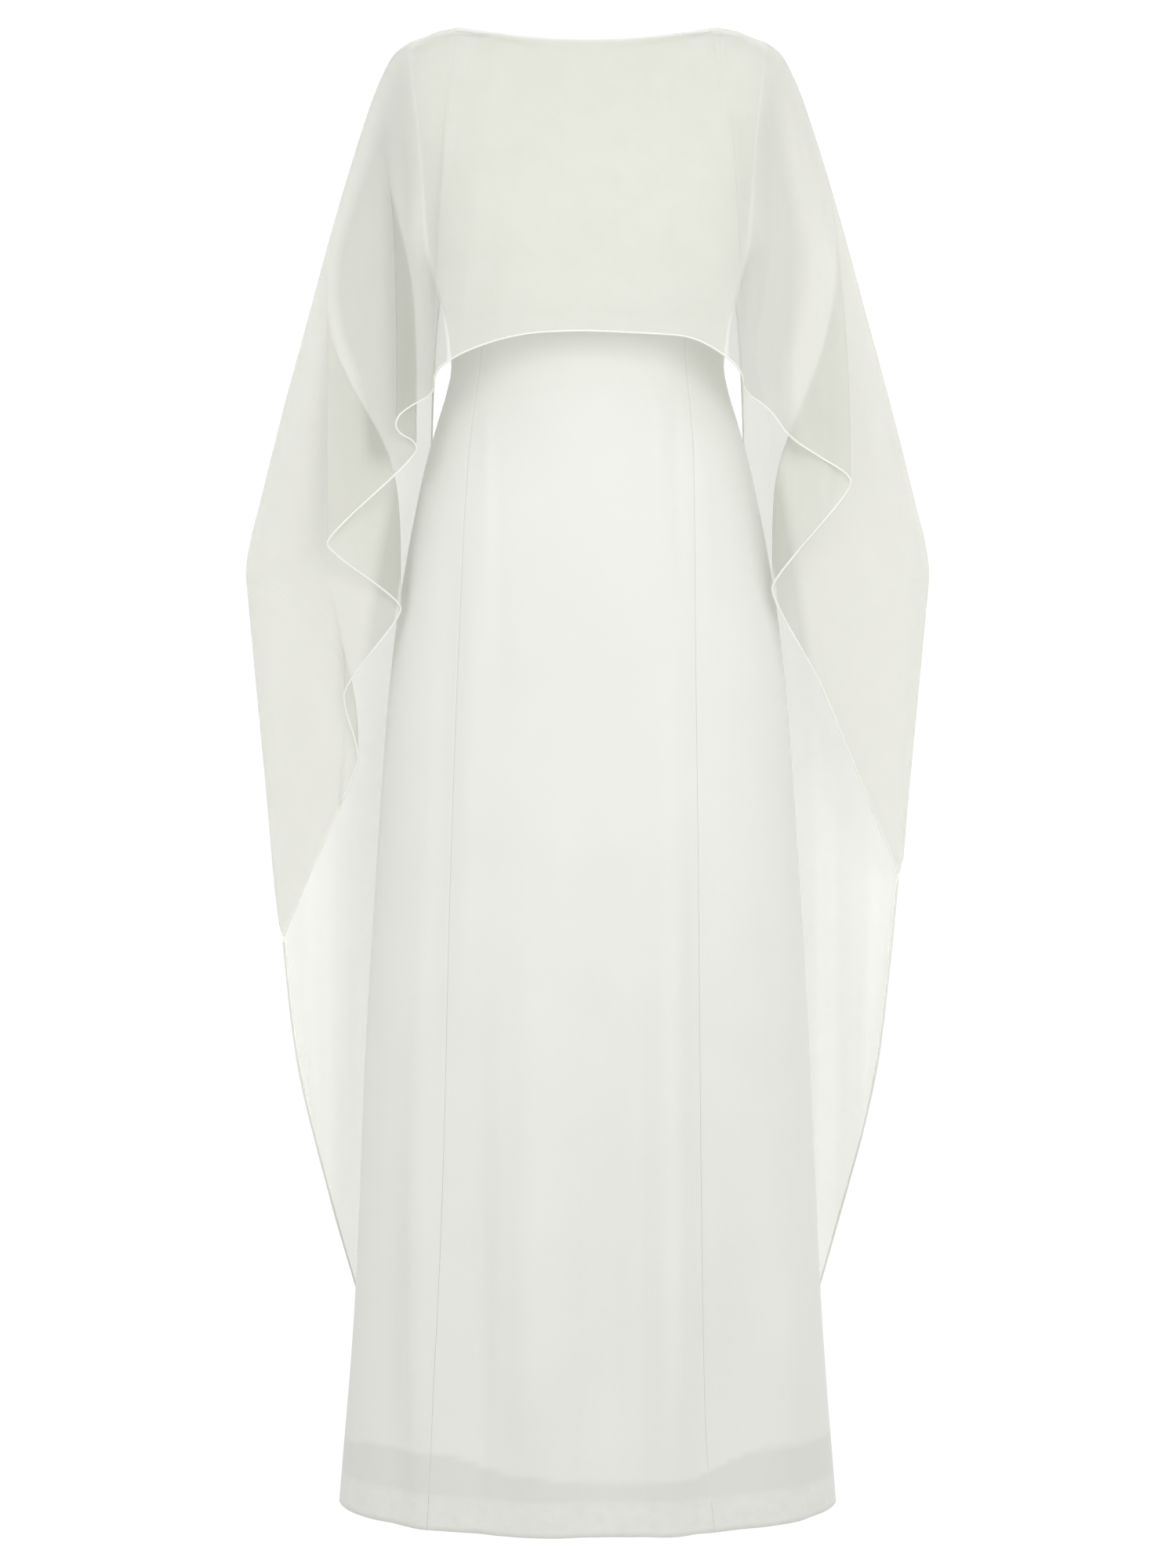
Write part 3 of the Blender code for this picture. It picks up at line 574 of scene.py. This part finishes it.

# %% [markdown]
# ## The panels of the dress
# Bodice and skirt each have a centre front, two side fronts, two side backs and two backs, with
# princess seams between them and the zip in the centre back. The lining's hem shows through the
# crepe: its height along the front is a short table, whose first column is the place across,
# and the cloth below that line is marked as unlined. At the back it hangs a little lower.

# %% Panels
LiningHem = namedtuple("LiningHem", "height edge")
LINING_HEM = table(
    LiningHem,
    (-253, -1434), (-200, -1424), (-140, -1426), (-90, -1437), (-30, -1444), (10, -1448),
    (92, -1447), (140, -1432), (175, -1423), (253, -1424),
)
LINING_LOWER = {"front": 0, "back": 3}
LINING_BLEND = 1.5
HEM_BLEND = 3


def lining_edge(face, across):
    """The height of the lining's hem at a distance from the centre."""
    return smooth(LINING_HEM, across, "edge") - LINING_LOWER[face]


for part in ("bodice", "skirt"):
    for panel in PANELS:
        node = part + "_" + panel.name
        points, normals = panel_grid(part, panel.face, panel.left, panel.right)
        grid = turn_edges(part, panel, points, normals)
        edge = lining_edge(panel.face, grid[..., 0])
        # The unlined mask carries the painted grey below the lining's hem. The doubled mask marks the
        # turned-up hem band, which gets painted crumple shade instead of that grey.
        layers = {
            "unlined": ramp(0.5 + (edge - grid[..., 2]) / (2 * LINING_BLEND)),
            "doubled": ramp(0.5 + (HEM + HEM_FOLD - grid[..., 2]) / (2 * HEM_BLEND)),
        }
        mesh = sheet_mesh(node + "_cloth", grid, layers)
        piece = add_piece(node + "_cloth", mesh, crepe, node)

# %% [markdown]
# ## The lining
# A satin lining hangs inside the skirt from the waist and ends about 50 mm above the hem, with
# a narrow hem of its own. Satin has long floats of smooth yarn on one face, so it shines a
# little and its gloss runs with the yarn. It is one tube. It hangs less full than the crepe and
# its edge wavers.

# %% Lining
Inset = namedtuple("Inset", "height inset")
LINING = table(
    Inset,
    (-1440, 12), (-1150, 10), (-800, 7), (-480, 4), (-372, 2.6),
)
LINING_COLUMNS = 90
LINING_ROWS = 110
LINING_FOLD = 9
LINING_FOLD_INSET = 0.8
LINING_FULL = 0.35
SATIN_YARN = 1.2

satin, shader, where = new_material("ivory satin lining", "#D9DAD3", 0.42, {
    "Sheen Weight": 0.05, "Specular IOR Level": 0.45, "Anisotropic": 0.3})
stretched = add_node(satin, "ShaderNodeMapping", {3: (1, 1, 0.08)}, {"Vector": where})
yarns = add_node(satin, "ShaderNodeTexNoise", {"Scale": 1 / (SATIN_YARN * MM), "Detail": 2.0},
                 {"Vector": stretched.outputs[0]})
add_node(satin, "ShaderNodeMapRange", {3: 0.36, 4: 0.5}, {0: yarns.outputs["Fac"]},
         shader.inputs["Roughness"])

front, back = np.linspace(-1, 1, LINING_COLUMNS), np.linspace(1, -1, LINING_COLUMNS)[1:-1]
halves = []
for face, share in (("front", front), ("back", back)):
    hem = lining_edge(face, across_at(face, share, HEM))
    top = LINING[-1].height
    up = np.linspace(0, 1, LINING_ROWS)[:, None]
    z = hem + (top - hem) * up
    halves.append(dress_points(face, share + 0 * z, z, smooth(LINING, z, "inset"), LINING_FULL))
points = np.concatenate([half[0] for half in halves], axis=1)
normals = np.concatenate([half[1] for half in halves], axis=1)
folded = (points[:2] - normals[:2] * LINING_FOLD_INSET)[::-1]
folded[0, :, 2] += LINING_FOLD - (folded[0, :, 2] - points[0, :, 2])
grid = np.concatenate([folded, points])
mesh = sheet_mesh("skirt_lining_cloth", grid, closed=True)
lining = add_piece("skirt_lining_cloth", mesh, satin, "skirt_lining")

# %% [markdown]
# ## The line that the cape hangs from
# The cape starts at the neckline, lies over the shoulder and then follows the line of a sleeve
# down to the hand, a little away from the side. All of the cape falls from that line. It is
# given by the neckline and by a table of how far out it reaches at each level, and how round
# the cloth is where it turns over.

# %% Tables and line of the cape
Arm = namedtuple("Arm", "height reach round")
ARM = table(
    Arm,
    (-925, 312, 3), (-906, 316, 5), (-778, 328, 14), (-640, 341, 24), (-586, 346, 28),
    (-554, 348.5, 30), (-522, 344, 33), (-490, 336, 36), (-394, 312, 38), (-298, 286, 40),
    (-202, 260, 42), (-106, 231, 46), (-58, 214, 50), (-42, 206, 52), (-26, 196, 54),
    (-15, 183, 54), (-9, 167, 52), (-2.5, 151, 50), (0, 136, 48),
)
NECK_SAMPLES = 200
ARM_SAMPLES = 800


def top_line(face):
    """The line that the cape hangs from, as distances from the centre and points along it."""
    across = NECK_HALF * np.sin(np.pi / 2 * np.arange(NECK_SAMPLES) / NECK_SAMPLES)
    depth, height = neck_edge(face, across)
    z = ARM[0].height * np.linspace(0, 1, ARM_SAMPLES + 1) ** 2
    arm = np.stack([smooth(ARM, z, "reach"), 0 * z + SEAM_GAP / 2, z], axis=1)
    line = np.concatenate([np.stack([across, depth, height], axis=1), arm])
    steps = np.linalg.norm(np.diff(line, axis=0), axis=1)
    return np.concatenate([[0], np.cumsum(steps)]), line


TOP_LINES = {face: top_line(face) for face in ("front", "back")}
print("from the centre of the neck to the hand:", round(TOP_LINES["front"][0][-1]), "mm")

# %% [markdown]
# ## The hem of the cape as a table of folds
# Chiffon that is cut wider than it hangs drops in a zigzag, called a cascade. Each row below
# is one turning point of the hem, from the centre outward: where on the top line it hangs
# from, where its tip lies, how wide the loop of the fold is, and how soon its line of fall
# swings across and outward. Between the rows the hem is a smooth curve, and each tip is
# rounded by two points instead of one, as chiffon is too springy for a sharp corner. The front
# is short over the bust and falls in cascades beside the waist; the back hangs nearly to the
# floor in two halves. A few shallow waves keep the back from looking pressed.

# %% Folds of the cape
Fold = namedtuple("Fold", "hang across depth height gap swing fall")
FRONT_LEFT = table(
    Fold,
    (0, 0, -147, -324, 0, 1, 2), (28, 38, -147, -324, 0, 1, 2), (58, 80, -146, -330, 0, 1, 2),
    (86, 113, -141, -340, 0, 1, 2), (112, 138, -131, -352, 0, 1.2, 2),
    (132, 152, -116, -361, 0, 1.6, 2), (178, 153, -90, -381, 0, 2, 2),
    (225, 175, -92, -391, 0, 2.4, 1.6), (262, 193, -100, -412, 7, 3, 1.4),
    (335, 169, -84, -434, 7, 4, 1.3), (430, 263, -75, -529, 7, 2, 1.2),
    (560, 186, -54, -592, 7, 4.5, 1.2), (680, 247, -36, -677, 6, 2.5, 1.1),
    (779.2, 232, -20, -745, 6, 3, 1), (965, 270, -6, -829, 0, 1.6, 1),
    (1129, 310.5, -2, -925, 0, 1, 1),
)
FRONT_RIGHT = table(
    Fold,
    (0, 0, -147, -324, 0, 1, 2), (28, 32, -147, -325, 0, 1, 2), (58, 68, -146, -327, 0, 1, 2),
    (86, 104, -142, -329, 0, 1, 2), (112, 134, -132, -345, 0, 1.2, 2),
    (132, 154, -116, -361, 0, 1.6, 2), (178, 155, -90, -378, 0, 2, 2),
    (212, 184, -84, -394, 0, 2.2, 1.8), (252, 202, -80, -424, 0, 2.4, 1.6),
    (300, 233, -76, -442, 0, 2.3, 1.5), (345, 266, -72, -467, 8, 2.2, 1.4),
    (560, 184, -56, -572, 8, 4.5, 1.2), (779.2, 236, -30, -668, 4, 2.4, 1.1),
    (915, 277, -12, -765, 0, 1.6, 1), (1064, 317, -4, -860, 0, 1, 1),
)
BACK = table(
    Fold,
    (7, 165, 176, -1400, 0, 13, 1.5), (60, 176, 170, -1436, 0, 13, 1.5),
    (120, 200, 148, -1410, 0, 6.5, 1.4), (200, 230, 118, -1340, 0, 3, 1.3),
    (330, 252, 98, -1262, 0, 1.5, 1.2), (520, 276, 74, -1168, 0, 1.2, 1.1),
    (680, 292, 54, -1100, 0, 1, 1), (864, 305, 32, -1020, 0, 1, 1),
)
BACK_END_LEFT = Fold(1129, 310.5, 2, -931, 0, 1, 1)
BACK_END_RIGHT = Fold(1064, 317, 4, -868, 0, 1, 1)

Wave = namedtuple("Wave", "side across rise half_width")
WAVES = table(
    Wave,
    (-1, 205, 2.5, 17), (-1, 240, -2.5, 17), (-1, 281, 2.5, 17), (1, 196, 2.5, 17),
    (1, 228, -2.5, 17), (1, 262, 2.5, 17),
)
FOLD_CRISP = 0.6
FOLD_ROUND = 10
TIP_KEPT = 0.7


def hem_line(folds, steps):
    """The hem as a smooth line past its turning points, with every field of the table."""
    points = []
    spots = np.array([(row.across, row.height) for row in folds], float)
    for i, row in enumerate(folds):
        if not row.gap:
            points.append((row.hang, row.across, row.depth, row.height, row.swing, row.fall))
            continue
        ways = unit(spots[[i - 1, i + 1]] - spots[i])
        for way, toward in ((-1, ways[0]), (1, ways[1])):
            across, height = spots[i] + FOLD_ROUND * (toward - TIP_KEPT * ways.mean(axis=0))
            points.append((row.hang + row.gap * way, across, row.depth + row.gap * way * FOLD_CRISP,
                           height, row.swing, row.fall))
    points = np.array(points, float)
    middles = (points[:-1] + points[1:]) / 2
    middles[0], middles[-1] = points[0], points[-1]
    share = np.linspace(0, 1, steps, endpoint=False)[:, None]
    lines = [start * (1 - share) ** 2 + turn * 2 * share * (1 - share) + end * share**2
             for start, turn, end in zip(middles[:-1], points[1:-1], middles[1:])]
    return np.concatenate([*lines, points[-1:]])


print(len(FRONT_LEFT) + len(FRONT_RIGHT) - 1, "turning points in the front hem")

# %% [markdown]
# ## Soft creases in the chiffon
# Between the folds the cloth isn't flat: soft ridges and troughs run down it from the
# shoulder and from the arm. Each row says which line of fall it follows, how far down it
# starts, and how much it stands out.

# %% Creases of the cape
Drape = namedtuple("Drape", "hang start rise half_width")
DRAPES = {
    ("front", -1): table(
        Drape,
        (40, 0.35, 1.5, 12), (74, 0.30, -1.5, 9), (98, 0.25, 2.0, 8), (150, 0.10, 3.0, 10),
        (296, 0.00, -8.0, 84), (480, 0.10, 4.0, 30), (620, 0.20, 4.0, 28),
        (850, 0.20, -3.0, 40), (1000, 0.20, 3.0, 30),
    ),
    ("front", 1): table(
        Drape,
        (34, 0.35, -1.2, 10), (62, 0.30, 1.5, 10), (92, 0.25, -1.5, 9), (152, 0.10, 2.5, 10),
        (215, 0.00, -10.0, 40), (262, 0.10, 4.0, 16), (305, 0.15, -4.0, 16),
        (420, 0.20, 5.0, 26), (490, 0.20, -4.0, 20), (650, 0.20, -3.0, 36),
        (850, 0.15, 3.0, 34), (990, 0.15, -2.5, 22),
    ),
    ("back", -1): table(
        Drape,
        (90, 0.15, 1.5, 26), (160, 0.15, -1.5, 34), (270, 0.20, 2.5, 50), (430, 0.20, -2.5, 56),
        (610, 0.20, 2.5, 50),
    ),
    ("back", 1): table(
        Drape,
        (84, 0.15, -1.5, 26), (150, 0.15, 1.5, 34), (250, 0.20, -2.5, 48), (400, 0.20, 2.5, 54),
        (590, 0.20, -2.5, 50),
    ),
}
DRAPE_FADE = 0.45


def drape_rise(face, side, hang, down):
    """How far the creases move the cape outward, from the line of fall and the share down it."""
    total = np.zeros(np.shape(down))
    for row in DRAPES[face, side]:
        grown = ramp((down - row.start) / DRAPE_FADE)
        total += row.rise * grown * bell(hang - row.hang, row.half_width)
    return total


print(sum(len(rows) for rows in DRAPES.values()), "creases in the cape")

# %% [markdown]
# ## How the cape falls
# Each line of fall starts on the top line and ends on the hem. On its way it moves across and
# forward or back, sooner or later as its row says, rounds the shoulder or the arm, and never
# sinks into the dress: where it would, it is pushed out so that it lies on the crepe.

# %% Falls of the cape
LIE_CLEAR = {"front": 2.5, "back": 5}
LIE_FADE = 40
LIE_BLEND = 3
SIDE_MARGIN = 1
SLOPE_STEP = 2
STEEPEST = 4
FALL_STEPS = 14
CAPE_ROWS = 112
CAPE_CROWDING = 1.7


def roundness(x, z):
    """How far the cape stands away from its outer line where it rounds the shoulder or arm."""
    below, here, above = [smooth(ARM, z + step, "reach") for step in (-SLOPE_STEP, 0, SLOPE_STEP)]
    lean = (below - above) / (2 * SLOPE_STEP)
    away = (here - x) / np.sqrt(1 + lean * lean)
    radius = smooth(ARM, z, "round")
    return radius * quarter(away / radius)


def clear_depth(face, x, z, depth, below):
    """A depth of the cape, moved out where needed so that it lies on the dress."""
    lay = LAY + LIE_CLEAR[face] * ramp(below / SHOULDER_ROLL)
    half = smooth(SECTIONS, z, "half_width")
    inside = np.minimum(np.abs(x), half - SIDE_MARGIN)
    here = depth_at(face, inside, z)
    tilt = (depth_at(face, inside - SLOPE_STEP, z) - here) / SLOPE_STEP
    lean = (depth_at(face, inside, z - SLOPE_STEP) - here) / SLOPE_STEP
    steep = np.minimum(np.sqrt(1 + tilt * tilt + lean * lean), STEEPEST)
    fade = 1 - ramp((np.abs(x) - half) / LIE_FADE)
    limit = here * fade + lay * steep
    gap = depth - limit
    return np.where(fade == 0, depth, limit + (gap + np.sqrt(gap * gap + LIE_BLEND**2)) / 2)


def cape_grid(face, side, folds):
    """Points of one side of the cape: a row for each level, from its top line to its hem."""
    hang, across, depth, height, swing, fall = hem_line(folds, FALL_STEPS).T
    sign = -1 if face == "front" else 1
    lengths, line = TOP_LINES[face]
    top = np.stack([np.interp(hang, lengths, line[:, i]) for i in range(3)])
    if face == "back":
        waves = [row for row in WAVES if row.side == side]
        depth = depth + sum(row.rise * bell(across - row.across, row.half_width) for row in waves)
    down = (np.linspace(0, 1, CAPE_ROWS) ** CAPE_CROWDING)[:, None]
    z = top[2] + (height - top[2]) * down
    x = top[0] + (across - top[0]) * (1 - (1 - down) ** swing)
    top_round, hem_round = roundness(top[0], top[2]), roundness(across, height)
    rest = sign * depth - top[1] - (hem_round - top_round)
    y = top[1] + roundness(x, z) - top_round + rest * (1 - (1 - down) ** fall)
    y = y + drape_rise(face, side, hang, down + 0 * y)
    y[1:] = clear_depth(face, x, z, y, top[2] - z)[1:]
    return np.stack([side * x, sign * y, z], axis=-1)


print("the cape's top row lies on the neckline and on the arm's line")

# %% [markdown]
# ## Chiffon
# Chiffon is a very open plain weave of fine twisted yarn, so a good part of what is behind it
# shows through. One layer hides about three quarters; two layers, as at the arms, hide most.
# Its yarns are a quarter of a millimetre apart, too fine to draw, so the weave is drawn at
# 1.6 mm and faint, with a wider unevenness on top. Some light also glows through the yarns.
# That is the transmission, with a low IOR, because cloth scatters light but doesn't bend it as
# glass does. The front of the cape also carries a painted shade: where no crepe lies close
# behind, its colour is painted darker for the shadow that the body and the layers behind cast on
# it, and the mesh holds how much as an attribute. The edges are rolled and stitched by a
# machine, and as the roll is several layers thick it shows as a pale line.

# %% Chiffon
WEAVE = 1.6
UNEVEN = 26
HIDES = 0.74
GLOWS = 0.35
BENDS = 1.25

chiffon, shader, where = new_material("ivory silk chiffon, open weave", "#F0F0E8", 0.85, {
    "Sheen Weight": 0.15, "Sheen Roughness": 0.4, "Specular IOR Level": 0.15, "Alpha": HIDES,
    "Transmission Weight": GLOWS, "IOR": BENDS})
weave, uneven = [
    add_node(chiffon, "ShaderNodeTexNoise", {"Scale": 1 / (size * MM), "Detail": detail},
             {"Vector": where})
    for size, detail in ((WEAVE, 1.5), (UNEVEN, 2.0))
]
tint = add_node(chiffon, "ShaderNodeMix", {
    "data_type": "RGBA", 6: linear("#F0F0E8"), 7: linear("#F6F6F0")}, {0: uneven.outputs["Fac"]})
shade = add_node(chiffon, "ShaderNodeAttribute", {"attribute_name": "painted_cape_shade"}).outputs["Fac"]
# Painted shade: the shade attribute turns the colour towards a darker ivory.
shaded = add_node(chiffon, "ShaderNodeMix", {"data_type": "RGBA", 7: linear("#CACBC3")},
                  {0: shade, 6: tint.outputs[2]})
chiffon.node_tree.links.new(shaded.outputs[2], shader.inputs["Base Color"])
fine = add_node(chiffon, "ShaderNodeBump", {"Strength": 0.2, "Distance": 0.1 * MM},
                {"Height": weave.outputs["Fac"]})
add_node(chiffon, "ShaderNodeBump", {"Strength": 0.35, "Distance": 0.8 * MM},
         {"Height": uneven.outputs["Fac"], "Normal": fine.outputs["Normal"]}, shader.inputs["Normal"])

rolled, shader, where = new_material("ivory chiffon, rolled and stitched edge", "#EAEBE4", 0.75, {
    "Sheen Weight": 0.1})
stitches = add_node(rolled, "ShaderNodeTexNoise", {"Scale": 1 / (WEAVE * MM), "Detail": 1.0},
                    {"Vector": where})
add_node(rolled, "ShaderNodeBump", {"Strength": 0.3, "Distance": 0.2 * MM},
         {"Height": stitches.outputs["Fac"]}, shader.inputs["Normal"])
print("one layer of chiffon hides", HIDES, "of what is behind it")

# %% [markdown]
# ## The cape's three pieces and their rolled edges
# The front is one piece from arm to arm. The back is two halves that are open at the centre,
# so that the zip can be reached, and each hangs from half the neckline, a shoulder and an arm.
# A real front of this kind is cut as a wide half round; as its folds are modelled in full,
# the area of the mesh is close to that of the cut. The tables of shades give the painted shade
# on the front where the arms were and beside the waist, for the shadow of the body and of the
# layers behind: at each level, from how far beyond the side of the dress to how far, and how
# much. The back halves get none of it, so they stay the lightest: a painted glow for the lit
# background shining through them.

# %% Cape pieces
# Painted shade: the front gets a little of it everywhere and more beside the body, as the tables say.
# The back halves get none, so they are painted lightest.
BACKED_SHADE = 0.2
SLEEVE_SHADE = 0.38
SHADE_BLEND = 3
SHADE_SOFT = 22
Shade = namedtuple("Shade", "height inner outer depth")
SLEEVE_SHADES = [
    (-1, table(Shade, (-460, 20, 50, 0), (-418, 20, 62, 0.95), (-306, 24, 104, 0.95),
               (-200, 12, 76, 0.85), (-100, 6, 40, 0.5), (-20, 0, 12, 0))),
    (1, table(Shade, (-450, 10, 50, 0), (-400, 10, 52, 0.45), (-306, 10, 68, 0.5),
              (-130, 4, 30, 0.45), (-40, 0, 15, 0))),
]
WAIST_SHADE = table(Shade, (-400, -40, 22, 0.9), (-300, -40, 22, 0.9), (-200, -40, 8, 0))
ROLL = 1.0
ROLL_VARIES = 0.12
ROLL_WAVE = 17
ROLL_BEAT = 2.7
ROLL_SPACING = 2.5


def rolled_edge(name, line):
    """A thin uneven roll along an edge of the cape."""
    curve = bpy.data.curves.new(name, "CURVE")
    curve.dimensions = "3D"
    curve.bevel_depth = ROLL * MM
    curve.bevel_resolution = 1
    curve.use_fill_caps = True
    spline = curve.splines.new("POLY")
    spline.points.add(len(line) - 1)
    spline.points.foreach_set("co", np.column_stack([line * MM, np.ones(len(line))]).ravel())
    along = np.concatenate([[0], np.cumsum(np.linalg.norm(np.diff(line, axis=0), axis=1))])
    radii = 1 + ROLL_VARIES * np.sin(along / ROLL_WAVE) * np.cos(along / (ROLL_BEAT * ROLL_WAVE))
    spline.points.foreach_set("radius", radii)
    return add_piece(name, curve, rolled)


def thinned(line):
    """The points of a line, without those that are closer together than the roll needs."""
    kept = [line[0]]
    for point in line[1:-1]:
        since, left = np.linalg.norm(point - kept[-1]), np.linalg.norm(point - line[-1])
        if since >= ROLL_SPACING and left >= ROLL_SPACING / 2:
            kept.append(point)
    return np.array([*kept, line[-1]])


def painted_cape_shade(x, z):
    """How much painted shade darkens the front of the cape, from 0 to 1: a little over the crepe, more
    beside the body where it and the layers behind would shade the cloth.
    """
    beyond = np.abs(x) - smooth(SECTIONS, z, "half_width")
    total = 0 * x + SLEEVE_SHADE
    for side, rows in [*SLEEVE_SHADES, (-1, WAIST_SHADE), (1, WAIST_SHADE)]:
        near = ramp(0.5 + (beyond - smooth(rows, z, "inner")) / SHADE_SOFT)
        near = near * ramp(0.5 + (smooth(rows, z, "outer") - beyond) / SHADE_SOFT)
        total = total + np.where(x * side > 0, smooth(rows, z, "depth") * near, 0)
    return BACKED_SHADE + (1 - BACKED_SHADE) * total * ramp(0.5 + beyond / (2 * SHADE_BLEND))


left = cape_grid("front", -1, FRONT_LEFT)
right = cape_grid("front", 1, FRONT_RIGHT)
capes = {
    "cape_front": np.concatenate([left[:, ::-1], right[:, 1:]], axis=1),
    "cape_back_left": cape_grid("back", -1, BACK + [BACK_END_LEFT]),
    "cape_back_right": cape_grid("back", 1, BACK + [BACK_END_RIGHT]),
}
for node, grid in capes.items():
    layers, edge = None, np.concatenate([grid[:-1, 0], grid[-1]])
    # Only the front carries the painted shade; the back halves keep the lightest colour.
    if node == "cape_front":
        layers, edge = {"painted_cape_shade": painted_cape_shade(grid[..., 0], grid[..., 2])}, grid[-1]
    mesh = sheet_mesh(node + "_chiffon", grid, layers)
    piece = add_piece(node + "_chiffon", mesh, chiffon, node)
    roll = rolled_edge(node + "_rolled_edge", thinned(edge))

# %% [markdown]
# ## The zip
# A concealed zip closes the centre back, from the neck to the seat. Its tape is woven polyester
# with a ribbed face, sewn flat behind the seam. Its ribs are 1.5 mm apart and are drawn twice
# as wide: a wave texture of scale 1 has 10 bands in a length of pi. The slider and its pull are
# cast zinc with a baked ivory enamel, which is smooth and glossy, with a faint ripple of the
# coat. Those two keep the shape of their solids; only their finish is new.

# %% Zip
ZIP_FOOT = -540
TAPE_HALF_WIDTH = 12
TAPE_INSET = 1.3
TAPE_TOP_BELOW = 3
TAPE_ROWS = 130
TAPE_COLUMNS = 9
RIB = 2.96
RIPPLE = 3

tape, shader, where = new_material("ivory woven polyester tape", "#D8D8D0", 0.6, {
    "Specular IOR Level": 0.35})
ribs = add_node(tape, "ShaderNodeTexWave", {
    "Scale": math.pi / 10 / (RIB * MM), "bands_direction": "Z", "Distortion": 0.6}, {"Vector": where})
add_node(tape, "ShaderNodeBump", {"Strength": 0.6, "Distance": 0.15 * MM},
         {"Height": ribs.outputs["Fac"]}, shader.inputs["Normal"])

enamel, shader, where = new_material("ivory baked enamel on cast zinc", "#DCDCD6", 0.28, {
    "Coat Weight": 0.5, "Coat Roughness": 0.12})
coat = add_node(enamel, "ShaderNodeTexNoise", {"Scale": 1 / (RIPPLE * MM), "Detail": 2.0},
                {"Vector": where})
add_node(enamel, "ShaderNodeMapRange", {3: 0.22, 4: 0.36}, {0: coat.outputs["Fac"]},
         shader.inputs["Roughness"])
add_node(enamel, "ShaderNodeBump", {"Strength": 0.2, "Distance": 0.05 * MM},
         {"Height": coat.outputs["Fac"]}, shader.inputs["Normal"])
for node in ("zip_slider", "zip_pull"):
    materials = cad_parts[node].data.materials
    materials.clear()
    materials.append(enamel)

levels = np.linspace(ZIP_FOOT, float(dress_edge("back", 0.0)[1]) - TAPE_TOP_BELOW, TAPE_ROWS)
across = np.linspace(-TAPE_HALF_WIDTH, TAPE_HALF_WIDTH, TAPE_COLUMNS)
z = levels[:, None] + 0 * across
depth = depth_at("back", across + 0 * z, z) - TAPE_INSET
mesh = sheet_mesh("zip_tape_woven", np.stack([across + 0 * z, depth, z], axis=-1))
add_piece("zip_tape_woven", mesh, tape, "zip_tape")
print("zip of", round(float(levels[-1] - levels[0])), "mm")

# %% [markdown]
# ## Floor and light
# The dress stands as in a studio with a lit wall behind it and a pale floor well below the hem.
# The world is white only behind the dress and dim in front of it, and brighter at the sides
# and above, which rounds the skirt softly. Each row of the table is one of those ramps, along
# an axis of the world. Two soft lamps stand in front, low enough that the front edge of the
# cape casts hardly a shadow, and the stronger one is on the right.

# %% Stage
FLOOR_BELOW = 500
FLOOR_HALF = 2
PAPER_GRAIN = 2.5

paper, shader, where = new_material("pale paper roll, matt", "#D8D8D6", 0.95, {
    "Specular IOR Level": 0.1})
grain = add_node(paper, "ShaderNodeTexNoise", {"Scale": 1 / (PAPER_GRAIN * MM)}, {"Vector": where})
add_node(paper, "ShaderNodeBump", {"Strength": 0.1, "Distance": 0.1 * MM},
         {"Height": grain.outputs["Fac"]}, shader.inputs["Normal"])
mesh = bpy.data.meshes.new("paper_floor")
low = (HEM - FLOOR_BELOW) * MM
corners = [(x * FLOOR_HALF, y * FLOOR_HALF, low) for x, y in ((-1, -1), (1, -1), (1, 1), (-1, 1))]
mesh.from_pydata(corners, [], [(0, 1, 2, 3)])
mesh.materials.append(paper)
floor = bpy.data.objects.new("paper_floor", mesh)
scene.collection.objects.link(floor)

Ramp = namedtuple("Ramp", "axis start full low high")
RAMPS = table(Ramp, ("Y", 0.88, 0.95, 0.39, 1.03), ("Z", 0.3, 0.95, 0.0, 0.5),
              ("X", 0.3, 0.9, 0.0, 0.65), ("X", -0.3, -0.9, 0.0, 0.6))
world = bpy.data.worlds.new("lit studio")
world.use_nodes = True
sky = world.node_tree.nodes["Background"]
way = add_node(world, "ShaderNodeTexCoord").outputs["Generated"]
axes = add_node(world, "ShaderNodeSeparateXYZ", None, {0: way})
strength = None
for row in RAMPS:
    glow = add_node(world, "ShaderNodeMapRange", {
        "interpolation_type": "SMOOTHSTEP", 1: row.start, 2: row.full, 3: row.low, 4: row.high},
        {0: axes.outputs[row.axis]}).outputs[0]
    if strength is not None:
        glow = add_node(world, "ShaderNodeMath", {"operation": "ADD"}, {0: strength, 1: glow}).outputs[0]
    strength = glow
world.node_tree.links.new(strength, sky.inputs["Strength"])
sky.inputs["Color"].default_value = (1, 1, 1, 1)
scene.world = world

Lamp = namedtuple("Lamp", "name place target size watts")
LAMPS = table(Lamp, ("key_lamp_right", (0.7, -2.0, -0.05), (0.0, 0, -0.3), 1.0, 18),
              ("fill_lamp_left", (-1.4, -2.0, 0.0), (0.0, 0, -0.3), 1.2, 12))
for row in LAMPS:
    light = bpy.data.lights.new(row.name, "AREA")
    light.size = row.size
    light.energy = row.watts
    lamp = bpy.data.objects.new(row.name, light)
    lamp.location = row.place
    lamp.rotation_euler = (Vector(row.target) - Vector(row.place)).to_track_quat("-Z", "Y").to_euler()
    scene.collection.objects.link(lamp)
scene.view_settings.view_transform = "Standard"
print("lamps:", [row.name for row in LAMPS])
